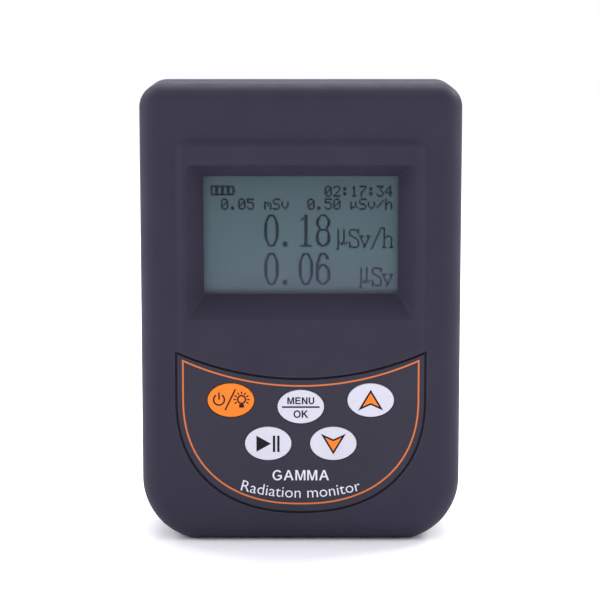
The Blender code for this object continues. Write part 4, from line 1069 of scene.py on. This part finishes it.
# ---- cells, springs and door
def cell(name, z, facing):
    """An AAA cell along X, with its nub towards facing: a metal can in a sleeve of two colours."""
    tip = CONTACT_X - CONTACT_THICKNESS / 2 - GAP
    shoulder, base = tip - 0.0010, tip - CELL_LENGTH
    inner, seam = CELL_RADIUS - 0.0012, shoulder - 0.0120
    top = [(inner, shoulder - 0.0002), (CELL_RADIUS - 0.0007, shoulder), (CELL_RADIUS - 0.0002, shoulder)]
    top += [(CELL_RADIUS, shoulder - 0.0003), (CELL_RADIUS, seam), (inner, seam)]
    wrap = [(inner, seam - 0.00005), (CELL_RADIUS, seam - 0.00005), (CELL_RADIUS, base + 0.0004)]
    wrap += [(CELL_RADIUS - 0.0003, base + 0.00015), (CELL_RADIUS - 0.0008, base + 0.00015)]
    wrap += [(inner, base + 0.0003)]
    can = [(0, tip), (0.0016, tip), (0.0019, tip - 0.0003), (0.0019, shoulder - 0.0002)]
    can += [(0.0034, shoulder - 0.0004), (CELL_RADIUS - 0.0008, shoulder - 0.0006)]
    can += [(CELL_RADIUS - 0.0008, base + 0.0004), (CELL_RADIUS - 0.0010, base), (0, base)]
    for part, profile, material in (("top", top, BRASS), ("wrap", wrap, WRAP), ("can", can, STEEL)):
        turned_way = [(radius, along * facing) for radius, along in profile]
        made = turned(f"cell_{part}_{name}", turned_way, (0, CELL_DEPTH, z), material, axis="X")
        piece(made, "case", "cell_wrap", *([f"cell_{name}"] if part == "wrap" else []))


def coil_spring(name, start_x, end_x, z):
    """A cone-shaped battery spring along X, wide at start_x and narrow at end_x."""
    turns, per_turn, wide, narrow = 3.5, 32, 0.0032, 0.0018
    count = int(turns * per_turn)
    points = []
    for i in range(count + 1):
        share, angle = i / count, 2 * math.pi * i / per_turn
        radius = wide + (narrow - wide) * share
        x = start_x + (end_x - start_x) * share
        points.append((x, CELL_DEPTH + radius * math.cos(angle), z + radius * math.sin(angle)))
    return piece(tube(f"coil_{name}", points, 0.0003, STEEL), "case", "steel", f"battery_spring_{name}")


def battery_parts():
    cell("lower", CELL_HEIGHTS["lower"], 1)
    cell("upper", CELL_HEIGHTS["upper"], -1)
    cell_end = CELL_LENGTH - (CONTACT_X - CONTACT_THICKNESS / 2 - GAP)
    clear = CONTACT_THICKNESS / 2 + 0.0006
    coil_spring("lower", -CONTACT_X + clear, -cell_end - clear, CELL_HEIGHTS["lower"])
    coil_spring("upper", CONTACT_X - clear, cell_end + clear, CELL_HEIGHTS["upper"])


def battery_door():
    """The door, with its two hooks, the latch tongue between its slits and a ribbed thumb dish."""
    door = prism(
        "door_panel",
        rounded_rectangle(DOOR_HALF_WIDTH, DOOR_BOTTOM, DOOR_TOP, 0.0006),
        DOOR_FRONT,
        CASE_DEPTH,
        CASE,
    )
    profile = [(0.0248, 0.0090), (0.0257, 0.0090), (0.0257, 0.0127), (DOOR_FRONT + 0.0005, 0.0127)]
    profile += [(DOOR_FRONT + 0.0005, 0.0137), (0.0248, 0.0137)]
    spans = both_spans(TAB_X - TAB_HALF_WIDTH, TAB_X + TAB_HALF_WIDTH)
    join(door, *(prism("hook", profile, low, high, plane="YZ") for low, high in spans))
    spans = both_spans(0.0056, 0.0062)
    slits = [box("slit", (low, 0.0260, 0.0320), (high, OUTSIDE, 0.0380)) for low, high in spans]
    dish = prism("dish", rounded_rectangle(0.0047, 0.0300, 0.0362, 0.0010), 0.0274, OUTSIDE)
    arrow = prism("arrow", [(-0.0016, 0.0272), (0.0, 0.0250), (0.0016, 0.0272)], 0.0276, OUTSIDE)
    cut(door, *slits, dish, arrow)
    lows = [0.0310 + 0.0012 * number for number in range(4)]
    join(door, *(box("rib", (-0.0042, 0.0272, low), (0.0042, 0.0279, low + 0.0005)) for low in lows))
    piece(soften(door, 0.00014), "door", "shell", "battery_door")


# ---- belt clip
def belt_clip():
    right = arc((CLIP_TIP_HALF_WIDTH - 0.003, CLIP_TIP + 0.003), 0.003, -90, 0, 12)
    right += arc((CLIP_HALF_WIDTH - 0.003, CLIP_TOP - 0.003), 0.003, 0, 90, 12)
    outline = mirrored(right)
    edge, beyond = 0.0007, CLIP_OUTER + 0.001
    rings = [lift(outline, CLIP_INNER)]
    rings += [lift(offset(outline, -edge * a), CLIP_OUTER - edge * b) for a, b in quarter(6)]
    clip = loft("clip_plate", rings, CASE)
    jaw = CLIP_TIP_HALF_WIDTH - 0.0020
    profile = [(CASE_DEPTH + GAP, 0.0481), (CASE_DEPTH + GAP, 0.0491)]
    profile += [(CLIP_INNER + 0.0005, 0.0508), (CLIP_INNER + 0.0005, 0.0466)]
    joined = [prism("jaw", profile, -jaw, jaw, plane="YZ")]
    for low, high in both_spans(*KNUCKLE_SPAN):
        joined.append(rod("knuckle", 0.0015, (PIVOT_DEPTH, PIVOT_HEIGHT), low, high, 40, axis="X"))
        web = box(
            "web",
            (low + 0.0001, PIVOT_DEPTH, PIVOT_HEIGHT - 0.0014),
            (high - 0.0001, CLIP_INNER + 0.0005, PIVOT_HEIGHT + 0.0014),
        )
        joined.append(web)
    join(clip, *joined)
    cutters = [rod("bore", 0.0010, (PIVOT_DEPTH, PIVOT_HEIGHT), -0.0080, 0.0080, 32, axis="X")]
    for number in range(4):
        z = 0.0850 + 0.0018 * number
        cutters.append(box("groove", (-0.0060, CLIP_OUTER - 0.0004, z), (0.0060, beyond, z + 0.0008)))
    dish = rounded_rectangle(0.0060, 0.0520, 0.0760, 0.0025)
    cutters.append(prism("clip_dish", dish, CLIP_OUTER - 0.00035, beyond))
    cut(clip, *cutters)
    piece(soften(clip, 0.00014), "clip", "shell", "belt_clip")


def clip_bracket():
    base_back = CASE_DEPTH + GAP + 0.0007
    outline = rounded_rectangle(BRACKET_HALF_WIDTH, BRACKET_BOTTOM, BRACKET_TOP, 0.0015)
    bracket = prism("bracket", outline, CASE_DEPTH + GAP, base_back, STEEL)
    ear = arc((PIVOT_DEPTH, PIVOT_HEIGHT), 0.0017, 90, -90, 24)
    ear += [(base_back - 0.0003, PIVOT_HEIGHT - 0.0030), (base_back - 0.0003, PIVOT_HEIGHT + 0.0030)]
    join(bracket, *(prism("ear", ear, low, high, plane="YZ") for low, high in both_spans(*EAR_SPAN)))
    cutters = [rod("ear_bore", 0.0010, (PIVOT_DEPTH, PIVOT_HEIGHT), -0.0090, 0.0090, 32, axis="X")]
    cutters += rods("bracket_hole", 0.0013, BRACKET_SCREW, 0.0280, 0.0300, 32)
    cut(bracket, *cutters)
    piece(soften(bracket, 0.00010), "case", "steel", "clip_bracket")


def clip_pin():
    shank, head, ear = 0.0007, 0.0014, EAR_SPAN[1] + GAP
    tip, soft = ear + 0.0006, 0.00015
    half = [(0, tip), (head - soft, tip), (head, tip - soft), (head, ear), (shank, ear)]
    profile = half + [(radius, -along) for radius, along in reversed(half)]
    pin = turned("pin", profile, (0, PIVOT_DEPTH, PIVOT_HEIGHT), STEEL, axis="X", steps=32)
    piece(pin, "case", "steel", "clip_pin")


def clip_spring():
    """The torsion spring: a coil round the pin, its lower leg running down by the bracket and its upper leg
    up under the clip.
    """
    coil_radius, turns, per_turn, half = 0.00125, 4, 32, 0.0030
    count = turns * per_turn
    coil = []
    for i in range(count + 1):
        angle = 2 * math.pi * i / per_turn
        x = -half + 2 * half * i / count
        across, up = coil_radius * math.cos(angle), coil_radius * math.sin(angle)
        coil.append((x, PIVOT_DEPTH - across, PIVOT_HEIGHT + up))
    low_leg = (-half, PIVOT_DEPTH - coil_radius, PIVOT_HEIGHT - 0.0060)
    top_leg = (half, CLIP_INNER - 0.0007, PIVOT_HEIGHT + 0.0070)
    spring = tube("torsion_spring", [low_leg, *coil, top_leg], 0.00025, STEEL, sides=10)
    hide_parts("clip_spring")
    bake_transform(spring)


# ---- screws
def screw(name, spot, depths, radii, node, turn):
    """A cross-head screw driven from the back. Its depths are under the head and at the tip, and its radii
    those of the thread and the head."""
    (head_depth, tip_depth), (radius, head) = depths, radii
    height, reach, pitch = 0.75 * head, tip_depth - head_depth, 0.0006
    dome = ((0, 1), (0.35, 0.98), (0.62, 0.90), (0.82, 0.70), (0.94, 0.42), (1, 0.16), (1, 0))
    profile = [(head * out, height * up) for out, up in dome] + [(radius, 0)]
    crest = -pitch
    while crest - pitch > reach + radius:
        profile += [(radius, crest), (radius * 0.80, crest - pitch / 2)]
        crest -= pitch
    profile += [(radius * 0.9, reach + radius), (0, reach)]
    made = turned(name, profile, (spot[0], head_depth, spot[1]), DARK_STEEL, steps=32)
    cutters = []
    for angle in (turn, turn + math.pi / 2):
        arm = Vector((math.cos(angle), math.sin(angle))) * 0.62 * head
        recess = stroke(Vector(spot) - arm, Vector(spot) + arm, 0.30 * head)
        cutters.append(prism("recess", recess, head_depth + 0.35 * height, head_depth + 2 * height))
    cut(made, *cutters)
    piece(shade(made, 40), "case", "steel", node)


def screws():
    for spots, head in ((both_sides(TOP_BOSS), "top"), (both_sides(BOTTOM_BOSS), "bottom")):
        for spot, side in zip(spots, ("right", "left")):
            name, turn = f"{head}_{side}", 40 * spot[0] + 30 * spot[1]
            screw(f"screw_{name}", spot, (0.0203, 0.0060), (0.0010, 0.0019), f"case_screw_{name}", turn)
    for spot, side in zip(both_sides(BRACKET_SCREW), ("right", "left")):
        node = f"bracket_screw_{side}"
        screw(f"clip_screw_{side}", spot, (0.0293, 0.0250), (0.0009, 0.0018), node, 90 * spot[0])


# ---- finishes of the CAD nodes that stay
NODE_FINISHES = (
    (WINDOW, "display_window"),
    (DISPLAY, "lcd_glass"),
    (DIFFUSER, "lcd_backlight lcd_frame"),
    (RIBBON, "lcd_ribbon"),
    (BOARD, "main_board"),
    (BLACK, "microcontroller buzzer " + " ".join(f"switch_stem_{name}" for name in KEYS)),
    (FERRITE, "hv_transformer"),
    (RESIN, "hv_capacitor"),
    (STEEL, "crystal vibration_motor contact_bridge contact_positive contact_negative"),
    (STEEL, " ".join(f"switch_body_{name}" for name in KEYS)),
    (BRASS, "motor_weight tube_filter tube_clip_left tube_clip_right"),
    (TUBE, "gm_tube"),
    (FOAM, "door_pad"),
    (DARK_STEEL, "board_screw_left board_screw_right"),
)


def finish_nodes():
    for material, nodes in NODE_FINISHES:
        for node in nodes.split():
            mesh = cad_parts[node].data
            mesh.materials.clear()
            mesh.materials.append(material)


# ---- stage
def area_light(name, place, target, size, power):
    light = bpy.data.lights.new(name, "AREA")
    light.shape = "RECTANGLE"
    light.size, light.size_y = size
    light.energy = power
    obj = bpy.data.objects.new(name, light)
    bpy.context.scene.collection.objects.link(obj)
    obj.location = place
    obj.rotation_euler = (Vector(target) - Vector(place)).to_track_quat("-Z", "Y").to_euler()


def stage():
    square = bar(-30.0, 30.0, -30.0, 30.0)
    white = Surface("floor_white", (0.95, 0.95, 0.955), 0.9, specular=0.05).mottle(0.3, 0.01).material
    floor = loft("floor", [[(x, y, z) for x, y in square] for z in (-0.01, -0.00002)], white)
    world = bpy.data.worlds.new("studio")
    bpy.context.scene.world = world
    world.use_nodes = True
    background = world.node_tree.nodes["Background"]
    background.inputs["Color"].default_value = (1.0, 0.985, 1.08, 1.0)
    background.inputs["Strength"].default_value = 1.06
    area_light("top_softbox", (0.0, 0.30, 0.75), (0, 0, 0.04), (0.7, 0.5), 4.2)
    area_light("left_softbox", (-0.62, -0.06, 0.26), (0, 0, 0.05), (0.35, 0.55), 1.5)
    area_light("right_softbox", (0.62, -0.06, 0.26), (0, 0, 0.05), (0.35, 0.55), 1.2)
    area_light("right_rim_softbox", (0.48, 0.31, 0.50), (0.03, 0, 0.10), (0.22, 0.22), 2.8)
    area_light("left_rim_softbox", (-0.48, 0.31, 0.50), (-0.03, 0, 0.10), (0.16, 0.16), 1.0)


def camera():
    """Straight on, a little above the instrument."""
    data = bpy.data.cameras.new("camera")
    data.lens, data.sensor_width = 134.9, 36.0
    data.shift_x = -0.0013
    data.clip_start = 0.01
    obj = bpy.data.objects.new("camera", data)
    bpy.context.scene.collection.objects.link(obj)
    distance, tilt, aim = 0.520, math.radians(8.3), 0.053
    obj.location = (0, -distance * math.cos(tilt), aim + distance * math.sin(tilt))
    obj.rotation_euler = (math.pi / 2 - tilt, 0, 0)
    bpy.context.scene.camera = obj


front_shell()
rear_shell()
keypad()
for key_name, key_place in KEYS.items():
    key(key_name, key_place, f"{key_name}_key")
signs()
printed_words()
display_dots()
battery_parts()
battery_door()
belt_clip()
clip_bracket()
clip_pin()
clip_spring()
screws()
finish_nodes()
stage()
camera()
bpy.context.scene.view_settings.view_transform = "Standard"
bpy.context.view_layer.update()
